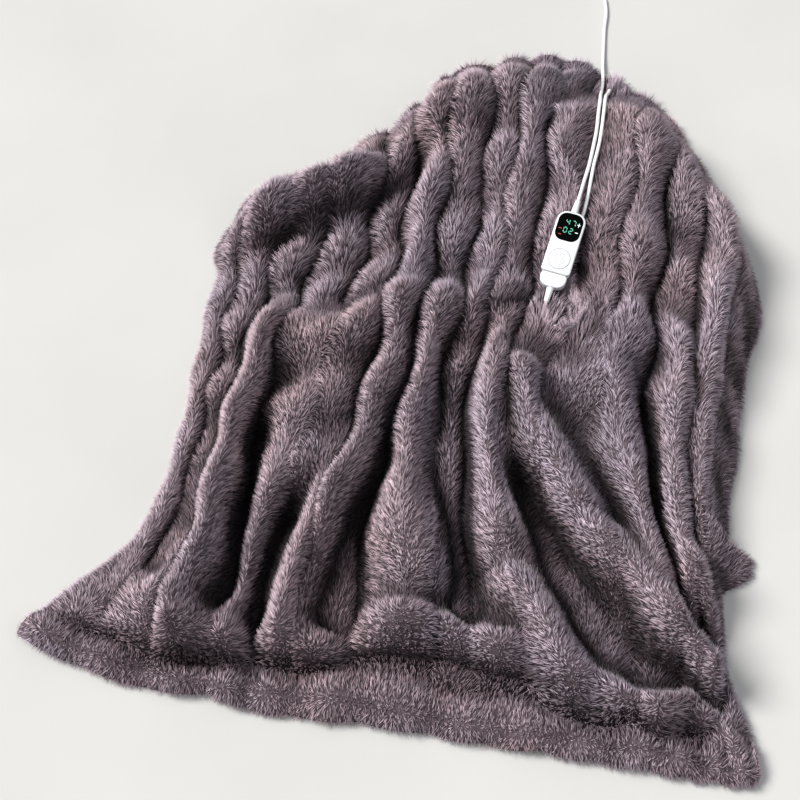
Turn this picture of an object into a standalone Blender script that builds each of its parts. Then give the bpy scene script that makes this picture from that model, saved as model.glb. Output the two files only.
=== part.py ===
"""Electric heated blanket: a plush ribbed throw lying in its folds, with a wired hand controller.

Metres, +Z up. The origin is at floor level under the middle of the cloth, and the hem faces -Y.
"""
import math

import bmesh
import bpy
from mathutils import Matrix, Vector

COLLECTION = "electric_heated_blanket"
TOUCH = 0.0003

# Cloth. A place on it is (rib, run): rib counts 0 to 15 from left to right, and run is 0 at the
# top edge and 1 at the hem.
STEPS_PER_RIB = 5
ROWS = 36
HEM_ROWS_CLOSER = 0.06
HEM_ROWS_POWER = 12
PLUSH_IN_VALLEY = 0.008
PLUSH_ON_CREST = 0.032
PLUSH_LUMP = 0.26
LUMPS_ALONG = 9.0
LUMP_STEP = 1.05
LOWER_CALM = 0.5
RIB_FULLNESS = 0.60
RIB_GATHER = 0.24
WAVE_REACH = 0.008
WAVES_ALONG = 6.5
PHASE_STEP = 0.618
CALM_VALLEYS = (0, 10, 13, 14, 15)
SCALLOP_REACH = 0.010
HEM_SCALLOP = 0.5
SCALLOP_RUN = 0.04
FLOOR_CUT = 0.006
EDGE_RIBS = 1.3
EDGE_RUN = 0.045
HEM_ROLL = 0.034
HEM_ROLL_HALF = 0.62
HEM_ROLL_RIM = 0.12
HEM_CREASE = 0.955
HEM_FADE = 0.028
HEM_GATHER = 0.2
#    turn   phase  size
HEM_LUMPS = (
    (2.3, 0.6, 0.18),
    (5.9, 0.0, 0.16),
)
HEM_WANDER = (
    (0.785, -0.40, 0.010),
    (2.600, 1.00, 0.006),
)
RIM_PLUSH = 0.72
LOCK_REACH = 0.014

# One row for each valley: x at six even runs from 0 to 1, then y at the top edge and at the hem.
#    x_000   x_020   x_040   x_060   x_080   x_100   y_top   y_hem
VALLEYS = (
    (-0.295, -0.325, -0.345, -0.365, -0.415, -0.568, 0.315, -0.445),
    (-0.235, -0.285, -0.310, -0.335, -0.378, -0.475, 0.355, -0.490),
    (-0.160, -0.220, -0.265, -0.300, -0.330, -0.380, 0.390, -0.520),
    (-0.100, -0.150, -0.200, -0.245, -0.260, -0.295, 0.435, -0.530),
    (-0.035, -0.065, -0.115, -0.160, -0.210, -0.235, 0.485, -0.550),
    (0.020, 0.000, -0.040, -0.090, -0.155, -0.175, 0.555, -0.560),
    (0.075, 0.060, 0.025, -0.025, -0.080, -0.085, 0.615, -0.570),
    (0.145, 0.125, 0.085, 0.030, 0.025, 0.020, 0.635, -0.585),
    (0.215, 0.175, 0.135, 0.080, 0.075, 0.090, 0.650, -0.600),
    (0.280, 0.225, 0.190, 0.125, 0.130, 0.170, 0.650, -0.610),
    (0.345, 0.300, 0.255, 0.185, 0.220, 0.245, 0.615, -0.625),
    (0.400, 0.365, 0.320, 0.270, 0.295, 0.310, 0.575, -0.635),
    (0.445, 0.420, 0.380, 0.345, 0.360, 0.365, 0.520, -0.646),
    (0.480, 0.470, 0.435, 0.395, 0.395, 0.405, 0.445, -0.651),
    (0.510, 0.505, 0.470, 0.425, 0.415, 0.435, 0.365, -0.656),
    (0.535, 0.530, 0.500, 0.460, 0.435, 0.465, 0.250, -0.651),
)
RIBS = len(VALLEYS) - 1

# Where the side edges swing out: side, run at the middle, half of its run, reach, ribs it pulls.
EDGE_FLAPS = (
    ("left", 0.10, 0.050, 0.015, 2.0),
    ("right", 0.15, 0.100, 0.026, 2.5),
    ("right", 0.66, 0.032, 0.042, 1.0),
)

# The large folds and heaps that the cloth lies in. Each runs along the cloth from its first
# (rib, run) to its last, with a soft end beyond each, and stands its height off the floor.
#    rib_0  run_0  rib_1  run_1  half_ribs  end_run  height
FOLDS = (
    (5.6, 0.09, 12.0, 0.12, 1.3, 0.060, 0.070),
    (6.4, 0.20, 11.4, 0.22, 1.2, 0.100, 0.044),
    (0.9, 0.10, 2.9, 0.13, 1.1, 0.060, 0.092),
    (13.8, 0.16, 13.9, 0.30, 1.0, 0.060, 0.078),
    (10.9, 0.16, 11.3, 0.42, 0.7, 0.060, 0.036),
    (6.0, 0.14, 5.3, 0.40, 0.6, 0.050, 0.030),
    (8.4, 0.16, 7.9, 0.40, 0.5, 0.050, 0.026),
    (9.9, 0.20, 10.1, 0.29, 0.5, 0.040, 0.022),
    (3.2, 0.41, 7.2, 0.45, 0.9, 0.040, 0.034),
    (2.7, 0.43, 2.1, 0.87, 0.5, 0.070, 0.076),
    (4.1, 0.48, 3.9, 0.66, 0.8, 0.060, 0.050),
    (3.05, 0.60, 2.95, 0.86, 0.3, 0.030, -0.050),
    (3.5, 0.72, 3.3, 0.88, 0.4, 0.040, 0.034),
    (4.05, 0.76, 3.9, 0.88, 0.4, 0.030, -0.045),
    (5.45, 0.50, 5.2, 0.66, 0.45, 0.060, 0.050),
    (5.1, 0.72, 4.7, 0.88, 0.45, 0.035, 0.072),
    (6.0, 0.66, 5.6, 0.88, 0.35, 0.030, -0.050),
    (6.5, 0.50, 6.3, 0.64, 0.5, 0.060, 0.044),
    (6.3, 0.72, 6.9, 0.82, 0.6, 0.035, 0.060),
    (7.7, 0.58, 7.8, 0.85, 0.4, 0.030, -0.055),
    (8.6, 0.52, 8.9, 0.76, 0.5, 0.040, 0.078),
    (9.1, 0.83, 9.5, 0.90, 0.5, 0.028, 0.068),
    (10.0, 0.925, 11.0, 0.940, 0.5, 0.018, 0.052),
    (9.5, 0.70, 10.2, 0.84, 0.4, 0.030, -0.060),
    (10.5, 0.870, 11.8, 0.905, 0.4, 0.018, -0.050),
    (9.5, 0.55, 10.4, 0.70, 0.5, 0.030, 0.074),
    (10.8, 0.75, 11.6, 0.82, 0.5, 0.030, 0.074),
    (12.2, 0.845, 13.3, 0.865, 0.5, 0.025, 0.072),
    (12.4, 0.900, 13.4, 0.910, 0.4, 0.014, -0.045),
    (11.4, 0.945, 12.0, 0.915, 0.3, 0.016, 0.050),
    (11.2, 0.51, 11.7, 0.62, 0.5, 0.050, 0.044),
    (11.8, 0.68, 12.0, 0.80, 0.4, 0.040, 0.050),
    (12.2, 0.54, 12.3, 0.80, 0.25, 0.030, -0.050),
    (12.7, 0.44, 12.8, 0.74, 0.5, 0.060, 0.062),
    (13.6, 0.38, 14.0, 0.66, 0.7, 0.060, 0.056),
    (13.3, 0.74, 14.2, 0.77, 0.5, 0.028, 0.050),
    (0.7, 0.86, 2.4, 0.91, 0.8, 0.030, 0.034),
    (2.3, 0.935, 3.4, 0.930, 0.4, 0.022, 0.040),
    (4.2, 0.910, 5.4, 0.920, 0.4, 0.020, 0.034),
    (6.7, 0.885, 8.5, 0.900, 0.5, 0.020, 0.052),
    (6.5, 0.928, 8.9, 0.936, 0.4, 0.010, -0.040),
    (12.6, 0.91, 13.9, 0.94, 0.8, 0.030, 0.036),
)
# Where two ribs run together and the valley between them nearly goes.
#    valley run_0  run_1  share
MERGES = (
    (1, 0.86, 0.95, 0.6),
    (2, 0.04, 0.20, 0.6),
    (3, 0.04, 0.18, 0.5),
    (3, 0.90, 0.95, 0.7),
    (4, 0.40, 0.68, 0.8),
    (5, 0.88, 0.95, 0.8),
    (6, 0.90, 0.95, 0.6),
    (7, 0.62, 0.95, 0.7),
    (8, 0.86, 0.95, 0.7),
    (9, 0.60, 0.95, 0.8),
    (10, 0.45, 0.95, 0.8),
    (11, 0.45, 0.95, 0.8),
    (12, 0.78, 0.92, 0.8),
    (13, 0.50, 0.90, 0.6),
    (14, 0.44, 0.72, 0.6),
)
MERGE_END = 0.035

# Hand controller, in its own frame: +Y towards its mains end, +Z out of its face, z 0 its back.
CONTROLLER_PLACE = Vector((0.241, 0.192, 0.052))
CONTROLLER_TURN = math.radians(-19.0)
CONTROLLER_TILT = math.radians(16.0)
CONTROLLER = (
    Matrix.Translation(CONTROLLER_PLACE)
    @ Matrix.Rotation(CONTROLLER_TURN, 4, "Z")
    @ Matrix.Rotation(CONTROLLER_TILT, 4, "X")
)
CASE_WIDTH = 0.048
CASE_TOP_Y = 0.066
CASE_END_Y = -0.042
CASE_CORNER = 0.017
CASE_END_CORNER = 0.005
CASE_EDGE = 0.0028
BASE_DEPTH = 0.009
BASE_INSET = 0.0008
SHELL_DEPTH = 0.010
END_CAP_WIDTH = 0.043
END_CAP_LENGTH = 0.024
END_CAP_CORNER = 0.015
END_CAP_DEPTH = 0.017
DISPLAY_WIDTH = 0.0405
DISPLAY_LENGTH = 0.048
DISPLAY_CORNER = 0.0135
DISPLAY_Y = 0.0383
DISPLAY_DEPTH = 0.0014
DISPLAY_POCKET = 0.0015
KEYS_Y = -0.0180
KEY_RING_RADIUS = 0.0180
KEY_RING_BORE = 0.0100
KEY_RADIUS = 0.0096
KEY_CLEAR = 0.0004
KEY_POCKET = 0.0030
KEY_LIFT = 0.0010
KEY_PROUD = 0.0006
KEY_EDGE = 0.0005
RELIEF_LENGTH = 0.024
RELIEF_WIDE = 0.0062
RELIEF_NARROW = 0.0042
RELIEF_Z = 0.0092
ROUND_STEPS = 32
CORNER_STEPS = 6

# Leads: round cable 6 mm across. Each route lists places of the cable's middle.
LEAD_RADIUS = 0.003
LEAD_STEP = 0.014
MAINS_ROUTE = (
    (0.2687, 0.2722, 0.0859),
    (0.2717, 0.2813, 0.0879),
    (0.2770, 0.3000, 0.0845),
    (0.2840, 0.3250, 0.0790),
    (0.2920, 0.3500, 0.0812),
    (0.3020, 0.3900, 0.0878),
    (0.3085, 0.4200, 0.0915),
    (0.3135, 0.4550, 0.0978),
    (0.3180, 0.4800, 0.0955),
    (0.3230, 0.5080, 0.0765),
    (0.3300, 0.5400, 0.0465),
    (0.3365, 0.5700, 0.0228),
    (0.3410, 0.5920, 0.0128),
    (0.3435, 0.6150, 0.0106),
    (0.3450, 0.6400, 0.0074),
    (0.3490, 0.6750, 0.0040),
    (0.3560, 0.7400, 0.0034),
    (0.3630, 0.7900, 0.0040),
    (0.3650, 0.8310, 0.0064),
)
BLANKET_ROUTE = (
    (0.2117, 0.1069, 0.0358),
    (0.2092, 0.0996, 0.0341),
    (0.2066, 0.0875, 0.0342),
    (0.2104, 0.0741, 0.0350),
    (0.2195, 0.0642, 0.0357),
    (0.2319, 0.0591, 0.0341),
    (0.2453, 0.0597, 0.0330),
    (0.2572, 0.0659, 0.0340),
    (0.2654, 0.0765, 0.0358),
    (0.2675, 0.0896, 0.0366),
    (0.2650, 0.1012, 0.0348),
    (0.2605, 0.1130, 0.0308),
    (0.2560, 0.1250, 0.0272),
    (0.2510, 0.1370, 0.0262),
    (0.2468, 0.1490, 0.0290),
    (0.2455, 0.1615, 0.0346),
    (0.2536, 0.1887, 0.0468),
    (0.2630, 0.2160, 0.0566),
    (0.2724, 0.2433, 0.0649),
    (0.2818, 0.2705, 0.0731),
    (0.2885, 0.2980, 0.0758),
    (0.2945, 0.3250, 0.0778),
    (0.3000, 0.3500, 0.0818),
    (0.3110, 0.3900, 0.0880),
    (0.3170, 0.4200, 0.0916),
    (0.3225, 0.4550, 0.0978),
    (0.3265, 0.4800, 0.0955),
    (0.3330, 0.5080, 0.0765),
    (0.3420, 0.5380, 0.0485),
    (0.3490, 0.5620, 0.0325),
)
GLAND_LENGTH = 0.026
GLAND_WIDE = 0.0070
BED_ACROSS = 0.012
BED_ALONG = 0.011
BED_SLOPE = 0.8
BED_STEP = 0.004
THIN_CLOTH = 0.005

# The rest of the mains lead, put away in a coil with its plug beside it.
COIL_PLACE = Vector((0.365, 0.876, 0.0))
COIL_RADIUS = 0.035
COIL_HALF_WIDTH = 0.0095
COIL_HEIGHT = 0.0125
COIL_ROUND = 0.003
COIL_STEPS = 32
TAIL_LENGTH = 0.032
PLUG_Z = 0.0105
PLUG_NECK_WIDE = 0.0060
PLUG_BODY = Vector((0.026, 0.026, 0.020))
PLUG_EDGE = 0.004
PIN_SIZE = Vector((0.0170, 0.0015, 0.0062))
PIN_SPACING = 0.0127


def smooth_levels(values, run):
    """A smooth curve through values at even runs from 0 to 1."""
    last = len(values) - 1
    place = min(max(run, 0.0), 1.0) * last
    i = min(int(place), last - 1)
    t = place - i
    before, after = values[max(i - 1, 0)], values[min(i + 2, last)]
    start, end = values[i], values[i + 1]
    slope_in, slope_out = (end - before) / 2.0, (after - start) / 2.0
    return (
        start * (2 * t**3 - 3 * t**2 + 1)
        + slope_in * (t**3 - 2 * t**2 + t)
        + end * (3 * t**2 - 2 * t**3)
        + slope_out * (t**3 - t**2)
    )


def smooth_step(x):
    x = min(max(x, 0.0), 1.0)
    return x * x * (3.0 - 2.0 * x)


def edge_nearness(run):
    """1 at the top edge or at the hem, and 0 further in than one scallop."""
    return smooth_step(1.0 - min(run, 1.0 - run) / SCALLOP_RUN)


def valley_place(k, run):
    """Floor place of valley k at a run, with its wander from side to side."""
    row = VALLEYS[k]
    calm = 0.3 if k in CALM_VALLEYS else 1.0 - LOWER_CALM * smooth_step((run - 0.45) / 0.25)
    x = smooth_levels(row[:6], run)
    x += calm * WAVE_REACH * math.sin(2 * math.pi * (WAVES_ALONG * run + PHASE_STEP * k))
    return x, row[6] + (row[7] - row[6]) * run


def flap_shift(rib, run):
    """How far a side edge's flaps carry a place outwards."""
    shift = 0.0
    for side, middle, half_run, reach, ribs in EDGE_FLAPS:
        inward = rib if side == "left" else RIBS - rib
        sign = -1.0 if side == "left" else 1.0
        pull = max(0.0, 1.0 - inward / ribs)
        shift += sign * reach * pull * math.exp(-(((run - middle) / half_run) ** 4))
    return shift


def inner_share(rib, run):
    """0 along the rim, where the cloth lies on the floor, and 1 away from it."""
    side = smooth_step(min(rib, RIBS - rib) / EDGE_RIBS)
    return side * smooth_step(min(run, 1.0 - run) / EDGE_RUN)


def fold_height(rib, run):
    """How high the underside stands off the floor at a place on the cloth."""
    height = 0.0
    for rib_0, run_0, rib_1, run_1, half_ribs, end_run, tall in FOLDS:
        across, down = rib_1 - rib_0, (run_1 - run_0) * RIBS
        reach = across**2 + down**2
        t = ((rib - rib_0) * across + (run - run_0) * RIBS * down) / reach
        t = min(max(t, 0.0), 1.0)
        off_ribs = (rib - rib_0 - t * across) / half_ribs
        off_run = (run - run_0 - t * (run_1 - run_0)) / end_run
        height += tall * math.exp(-(off_ribs**2) - off_run**2)
    return height * inner_share(rib, run)


def hem_crease(rib):
    """Run at which the crease above the hem's roll lies, wandering from rib to rib."""
    return HEM_CREASE + sum(size * math.sin(turn * rib + phase) for turn, phase, size in HEM_WANDER)


def hem_share(rib, run):
    """0 above the hem's crease and 1 on the hem's roll."""
    return smooth_step((run - hem_crease(rib) + HEM_FADE) / HEM_FADE)


def rib_shape(rib, run):
    """Rise across a rib, 0 in its valleys and 1 on its crest, and the size of its lump here."""
    k = min(int(rib), RIBS - 1)
    hump = max(0.0, 1.0 - (2 * (rib - k) - 1) ** 2) ** RIB_FULLNESS
    for valley, run_0, run_1, share in MERGES:
        off = max(0.0, run_0 - run, run - run_1) / MERGE_END
        near = max(0.0, 1.0 - abs(rib - valley)) * math.exp(-(off**2))
        hump += (1.0 - hump) * share * near
    calm = 1.0 - LOWER_CALM * smooth_step((run - 0.45) / 0.25)
    turn = LUMPS_ALONG * run + LUMP_STEP * k
    return hump, 1.0 + calm * PLUSH_LUMP * math.sin(2 * math.pi * turn)


def plush_depth(rib, run):
    """Thickness of the cloth with its pile: full on a rib's crest and thin in a valley."""
    hump, lump = rib_shape(rib, run)
    rim = min(min(rib, RIBS - rib) * 2.0, 1.0 - edge_nearness(run))
    share = RIM_PLUSH + (1.0 - RIM_PLUSH) * smooth_step(rim)
    ribbed = share * (PLUSH_IN_VALLEY + (PLUSH_ON_CREST - PLUSH_IN_VALLEY) * hump * lump)
    wide = 1.0 - hem_crease(rib)
    roll = max(HEM_ROLL_RIM, 1.0 - ((run - 1.0 + 0.5 * wide) / (HEM_ROLL_HALF * wide)) ** 2) ** 0.5
    roll *= 1.0 + sum(size * math.sin(turn * rib + phase) for turn, phase, size in HEM_LUMPS)
    return ribbed + (HEM_ROLL * roll - ribbed) * hem_share(rib, run)


def cloth_place(rib, run):
    """Floor x and y, underside height and upper height at a place on the cloth."""
    k = min(int(rib), RIBS - 1)
    across = rib - k
    x0, y0 = valley_place(k, run)
    x1, y1 = valley_place(k + 1, run)
    x = x0 + (x1 - x0) * across + flap_shift(rib, run)
    outward = 1.0 if run < 0.5 else -HEM_SCALLOP
    scallop = SCALLOP_REACH * math.sin(math.pi * across) * edge_nearness(run)
    y = y0 + (y1 - y0) * across + outward * scallop
    hump, lump = rib_shape(rib, run)
    gathered = RIB_GATHER * (x1 - x0) * hump * lump * inner_share(rib, run)
    gathered *= 1.0 - (1.0 - HEM_GATHER) * hem_share(rib, run)
    under = max(0.0, fold_height(rib, run) + gathered - FLOOR_CUT)
    return x, y, under, under + plush_depth(rib, run)


def smooth_route(route, step):
    """Places at even steps along a smooth curve through the route's points."""
    points = [Vector(p) for p in route]
    points = [2 * points[0] - points[1]] + points + [2 * points[-1] - points[-2]]
    fine = []
    for i in range(1, len(points) - 2):
        before, start, end, after = points[i - 1 : i + 3]
        span = (end - start).length
        slope_in = (end - before) / ((end - start).length + (start - before).length) * span
        slope_out = (after - start) / ((after - end).length + span) * span
        for j in range(12):
            t = j / 12.0
            fine.append(
                start * (2 * t**3 - 3 * t**2 + 1)
                + slope_in * (t**3 - 2 * t**2 + t)
                + end * (3 * t**2 - 2 * t**3)
                + slope_out * (t**3 - t**2)
            )
    fine.append(points[-2])
    lengths = [0.0]
    for a, b in zip(fine, fine[1:]):
        lengths.append(lengths[-1] + (b - a).length)
    count = max(2, round(lengths[-1] / step))
    placed, i = [], 0
    for j in range(count + 1):
        goal = lengths[-1] * j / count
        while i < len(lengths) - 2 and lengths[i + 1] < goal:
            i += 1
        share = (goal - lengths[i]) / (lengths[i + 1] - lengths[i])
        placed.append(fine[i].lerp(fine[i + 1], share))
    return placed


def controller_ceiling(x, y):
    """Height that the controller's flat back leaves for the cloth under a floor place."""
    normal = CONTROLLER.to_3x3() @ Vector((0.0, 0.0, 1.0))
    z = CONTROLLER_PLACE.z
    z -= (normal.x * (x - CONTROLLER_PLACE.x) + normal.y * (y - CONTROLLER_PLACE.y)) / normal.z
    local = CONTROLLER.inverted() @ Vector((x, y, z))
    out_x = max(0.0, abs(local.x) - CASE_WIDTH / 2 - BED_ACROSS)
    out_y = max(0.0, abs(local.y) - CASE_TOP_Y - RELIEF_LENGTH - BED_ALONG)
    return z - TOUCH + BED_SLOPE * max(out_x, out_y)


def lead_ceiling(x, y, places):
    """Height that a lead and its gland leave for the cloth under a floor place."""
    ceiling = math.inf
    for place in places:
        out_x = max(0.0, abs(x - place.x) - BED_ACROSS)
        out_y = max(0.0, abs(y - place.y) - BED_ALONG)
        ceiling = min(ceiling, place.z + BED_SLOPE * max(out_x, out_y))
    return ceiling


def bed_places():
    """Lowest places of both leads and the gland, which the cloth lies under."""
    places = []
    for route in (MAINS_ROUTE, BLANKET_ROUTE):
        for place in smooth_route(route, BED_STEP):
            places.append(place - Vector((0.0, 0.0, LEAD_RADIUS + TOUCH)))
    start, along = gland_frame()
    for j in range(8):
        place = start + along * GLAND_LENGTH * j / 7.0
        places.append(place - Vector((0.0, 0.0, GLAND_WIDE + TOUCH)))
    return places


def gland_frame():
    """Where the gland meets its lead, and the way that it points."""
    end, before = Vector(BLANKET_ROUTE[-1]), Vector(BLANKET_ROUTE[-2])
    along = (end - before).normalized()
    return end + along * TOUCH, along


def make_collection(name):
    collection = bpy.data.collections.new(name)
    bpy.context.scene.collection.children.link(collection)
    return collection


def make_material(name, color, roughness, metallic=0.0):
    material = bpy.data.materials.new(name)
    material.use_nodes = True
    shader = material.node_tree.nodes["Principled BSDF"]
    shader.inputs["Base Color"].default_value = (*color, 1.0)
    shader.inputs["Roughness"].default_value = roughness
    shader.inputs["Metallic"].default_value = metallic
    return material


def add_object(name, data, collection, material):
    obj = bpy.data.objects.new(name, data)
    obj.data.materials.append(material)
    collection.objects.link(obj)
    return obj


def build_cloth(collection, material):
    """One closed slab: its upper face carries ribs and folds, and locks of pile ring its rim."""
    columns = RIBS * STEPS_PER_RIB
    beds = bed_places()
    bm = bmesh.new()
    bmesh.ops.create_grid(bm, x_segments=columns, y_segments=ROWS, size=0.5)
    lower = list(bm.verts)
    lower_faces = list(bm.faces)
    made = bmesh.ops.extrude_face_region(bm, geom=lower_faces, use_keep_orig=True)["geom"]
    upper = [item for item in made if isinstance(item, bmesh.types.BMVert)]
    upper_faces = [item for item in made if isinstance(item, bmesh.types.BMFace)]
    flat = set(lower_faces) | set(upper_faces)
    rim = [face for face in bm.faces if face not in flat]
    for verts, is_upper in ((lower, False), (upper, True)):
        for vert in verts:
            rib = round((vert.co.x + 0.5) * columns) / STEPS_PER_RIB
            row = round((0.5 - vert.co.y) * ROWS) / ROWS
            run = row + HEM_ROWS_CLOSER * (row - row**HEM_ROWS_POWER)
            x, y, under, top = cloth_place(rib, run)
            top = min(top, controller_ceiling(x, y), lead_ceiling(x, y, beds))
            under = max(0.0, min(under, top - THIN_CLOTH))
            vert.co = Vector((x, y, top if is_upper else under))
    bm.normal_update()
    bmesh.ops.poke(bm, faces=rim, offset=LOCK_REACH)
    mesh = bpy.data.meshes.new("blanket")
    bm.to_mesh(mesh)
    bm.free()
    mesh.shade_smooth()
    return add_object("blanket", mesh, collection, material)


def rounded_outline(width, y_low, y_high, low_corner, high_corner):
    """A rectangle about x 0 with its own corner radius at each end, as points of a loop."""
    corners = (
        (width / 2 - low_corner, y_low + low_corner, low_corner, -90.0),
        (width / 2 - high_corner, y_high - high_corner, high_corner, 0.0),
        (-width / 2 + high_corner, y_high - high_corner, high_corner, 90.0),
        (-width / 2 + low_corner, y_low + low_corner, low_corner, 180.0),
    )
    points = []
    for x, y, radius, start in corners:
        for i in range(CORNER_STEPS + 1):
            angle = math.radians(start + 90.0 * i / CORNER_STEPS)
            points.append((x + radius * math.cos(angle), y + radius * math.sin(angle)))
    return points


def circle_outline(radius, y):
    turns = [2 * math.pi * i / ROUND_STEPS for i in range(ROUND_STEPS)]
    return [(radius * math.cos(turn), y + radius * math.sin(turn)) for turn in turns]


def flat_piece(name, outlines, low, high, collection, material, edge=0.0):
    """A flat piece between two heights: its first outline is its rim, any others are holes."""
    curve = bpy.data.curves.new(name, "CURVE")
    curve.dimensions = "2D"
    curve.fill_mode = "BOTH"
    curve.extrude = (high - low) / 2
    for outline in outlines:
        spline = curve.splines.new("POLY")
        spline.points.add(len(outline) - 1)
        for point, (x, y) in zip(spline.points, outline):
            point.co = (x, y, 0.0, 1.0)
        spline.use_cyclic_u = True
    drawn = bpy.data.objects.new(name + "_outline", curve)
    bpy.context.scene.collection.objects.link(drawn)
    evaluated = drawn.evaluated_get(bpy.context.evaluated_depsgraph_get())
    mesh = bpy.data.meshes.new_from_object(evaluated)
    bpy.data.objects.remove(drawn, do_unlink=True)
    bm = bmesh.new()
    bm.from_mesh(mesh)
    bmesh.ops.remove_doubles(bm, verts=bm.verts, dist=1e-6)
    bmesh.ops.translate(bm, verts=bm.verts, vec=(0.0, 0.0, (low + high) / 2))
    bmesh.ops.dissolve_limit(bm, angle_limit=0.01, verts=bm.verts, edges=bm.edges)
    bmesh.ops.recalc_face_normals(bm, faces=bm.faces)
    bm.to_mesh(mesh)
    bm.free()
    mesh.materials.clear()
    obj = add_object(name, mesh, collection, material)
    if edge > 0.0:
        bevel = obj.modifiers.new("edges", "BEVEL")
        bevel.width = edge
        bevel.segments = 2
        bevel.limit_method = "ANGLE"
        bevel.angle_limit = math.radians(40.0)
    return obj


def cut(obj, cutter):
    boolean = obj.modifiers.new("pocket", "BOOLEAN")
    boolean.operation = "DIFFERENCE"
    boolean.solver = "EXACT"
    boolean.object = cutter
    cutter.hide_render = True
    cutter.display_type = "WIRE"


def cone_piece(name, start, along, length, radius_0, radius_1, collection, material):
    """A tapered round piece from start along a direction."""
    bm = bmesh.new()
    made = bmesh.ops.create_cone(
        bm, cap_ends=True, segments=16, radius1=radius_0, radius2=radius_1, depth=length
    )
    bmesh.ops.translate(bm, verts=made["verts"], vec=(0.0, 0.0, length / 2))
    turn = Vector((0.0, 0.0, 1.0)).rotation_difference(along).to_matrix().to_4x4()
    bmesh.ops.transform(bm, verts=bm.verts, matrix=Matrix.Translation(start) @ turn)
    mesh = bpy.data.meshes.new(name)
    bm.to_mesh(mesh)
    bm.free()
    mesh.shade_smooth()
    mesh.set_sharp_from_angle(angle=math.radians(35.0))
    return add_object(name, mesh, collection, material)


def build_controller(collection, cutters, white, black, pale):
    """The hand controller's solids, carried by an empty that stands them on the cloth."""
    carrier = bpy.data.objects.new("controller_place", None)
    carrier.matrix_world = CONTROLLER
    collection.objects.link(carrier)
    seam = BASE_DEPTH + TOUCH
    face = seam + SHELL_DEPTH
    inset = BASE_INSET
    base_outline = rounded_outline(
        CASE_WIDTH - 2 * inset, CASE_END_Y, CASE_TOP_Y - inset, CASE_END_CORNER, CASE_CORNER
    )
    shell_outline = rounded_outline(
        CASE_WIDTH, CASE_END_Y, CASE_TOP_Y, CASE_END_CORNER, CASE_CORNER
    )
    cap_high = CASE_END_Y - TOUCH
    cap_outline = rounded_outline(
        END_CAP_WIDTH, cap_high - END_CAP_LENGTH, cap_high, END_CAP_CORNER, CASE_END_CORNER
    )
    window_outline = rounded_outline(
        DISPLAY_WIDTH,
        DISPLAY_Y - DISPLAY_LENGTH / 2,
        DISPLAY_Y + DISPLAY_LENGTH / 2,
        DISPLAY_CORNER,
        DISPLAY_CORNER,
    )
    window_hole = rounded_outline(
        DISPLAY_WIDTH + 2 * TOUCH,
        DISPLAY_Y - DISPLAY_LENGTH / 2 - TOUCH,
        DISPLAY_Y + DISPLAY_LENGTH / 2 + TOUCH,
        DISPLAY_CORNER + TOUCH,
        DISPLAY_CORNER + TOUCH,
    )
    base = flat_piece("controller_base", [base_outline], 0.0, BASE_DEPTH, collection, white, CASE_EDGE)
    shell = flat_piece("controller_shell", [shell_outline], seam, face, collection, white, CASE_EDGE)
    cap = flat_piece("controller_end_cap", [cap_outline], 0.001, END_CAP_DEPTH, collection, white, CASE_EDGE)
    above = face + 0.004
    display_floor = face - DISPLAY_POCKET
    window_cutter = flat_piece("display_pocket", [window_hole], display_floor, above, cutters, white)
    key_hole = circle_outline(KEY_RING_RADIUS + KEY_CLEAR, KEYS_Y)
    key_floor = face - KEY_POCKET
    key_cutter = flat_piece("key_pocket", [key_hole], key_floor, above, cutters, white)
    cut(shell, window_cutter)
    cut(shell, key_cutter)
    window_low = display_floor + TOUCH
    window = flat_piece(
        "display_window", [window_outline], window_low, window_low + DISPLAY_DEPTH, collection, black
    )
    key_low = key_floor + KEY_LIFT
    key_high = face + KEY_PROUD
    ring_lines = [circle_outline(KEY_RING_RADIUS, 0.0), circle_outline(KEY_RING_BORE, 0.0)]
    ring = flat_piece("key_ring", ring_lines, key_low, key_high, collection, pale, KEY_EDGE)
    key_line = circle_outline(KEY_RADIUS, 0.0)
    key = flat_piece("key_centre", [key_line], key_low, key_high, collection, pale, KEY_EDGE)
    for moving in (ring, key):
        moving.location.y = KEYS_Y
    top_start = Vector((0.0, CASE_TOP_Y + TOUCH, RELIEF_Z))
    end_start = Vector((0.0, cap_high - END_CAP_LENGTH - TOUCH, RELIEF_Z))
    taper = (RELIEF_LENGTH, RELIEF_WIDE, RELIEF_NARROW, collection, white)
    mains_relief = cone_piece("mains_relief", top_start, Vector((0.0, 1.0, 0.0)), *taper)
    blanket_relief = cone_piece("blanket_relief", end_start, Vector((0.0, -1.0, 0.0)), *taper)
    held = (base, shell, cap, window, ring, key, mains_relief, blanket_relief)
    for piece in held + (window_cutter, key_cutter):
        piece.parent = carrier


def build_lead(name, places, collection, material):
    """A round cable through its places, with closed ends."""
    curve = bpy.data.curves.new(name, "CURVE")
    curve.dimensions = "3D"
    curve.bevel_depth = LEAD_RADIUS
    curve.bevel_resolution = 2
    curve.use_fill_caps = True
    spline = curve.splines.new("POLY")
    spline.points.add(len(places) - 1)
    for point, place in zip(spline.points, places):
        point.co = (*place, 1.0)
    return add_object(name, curve, collection, material)


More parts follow.
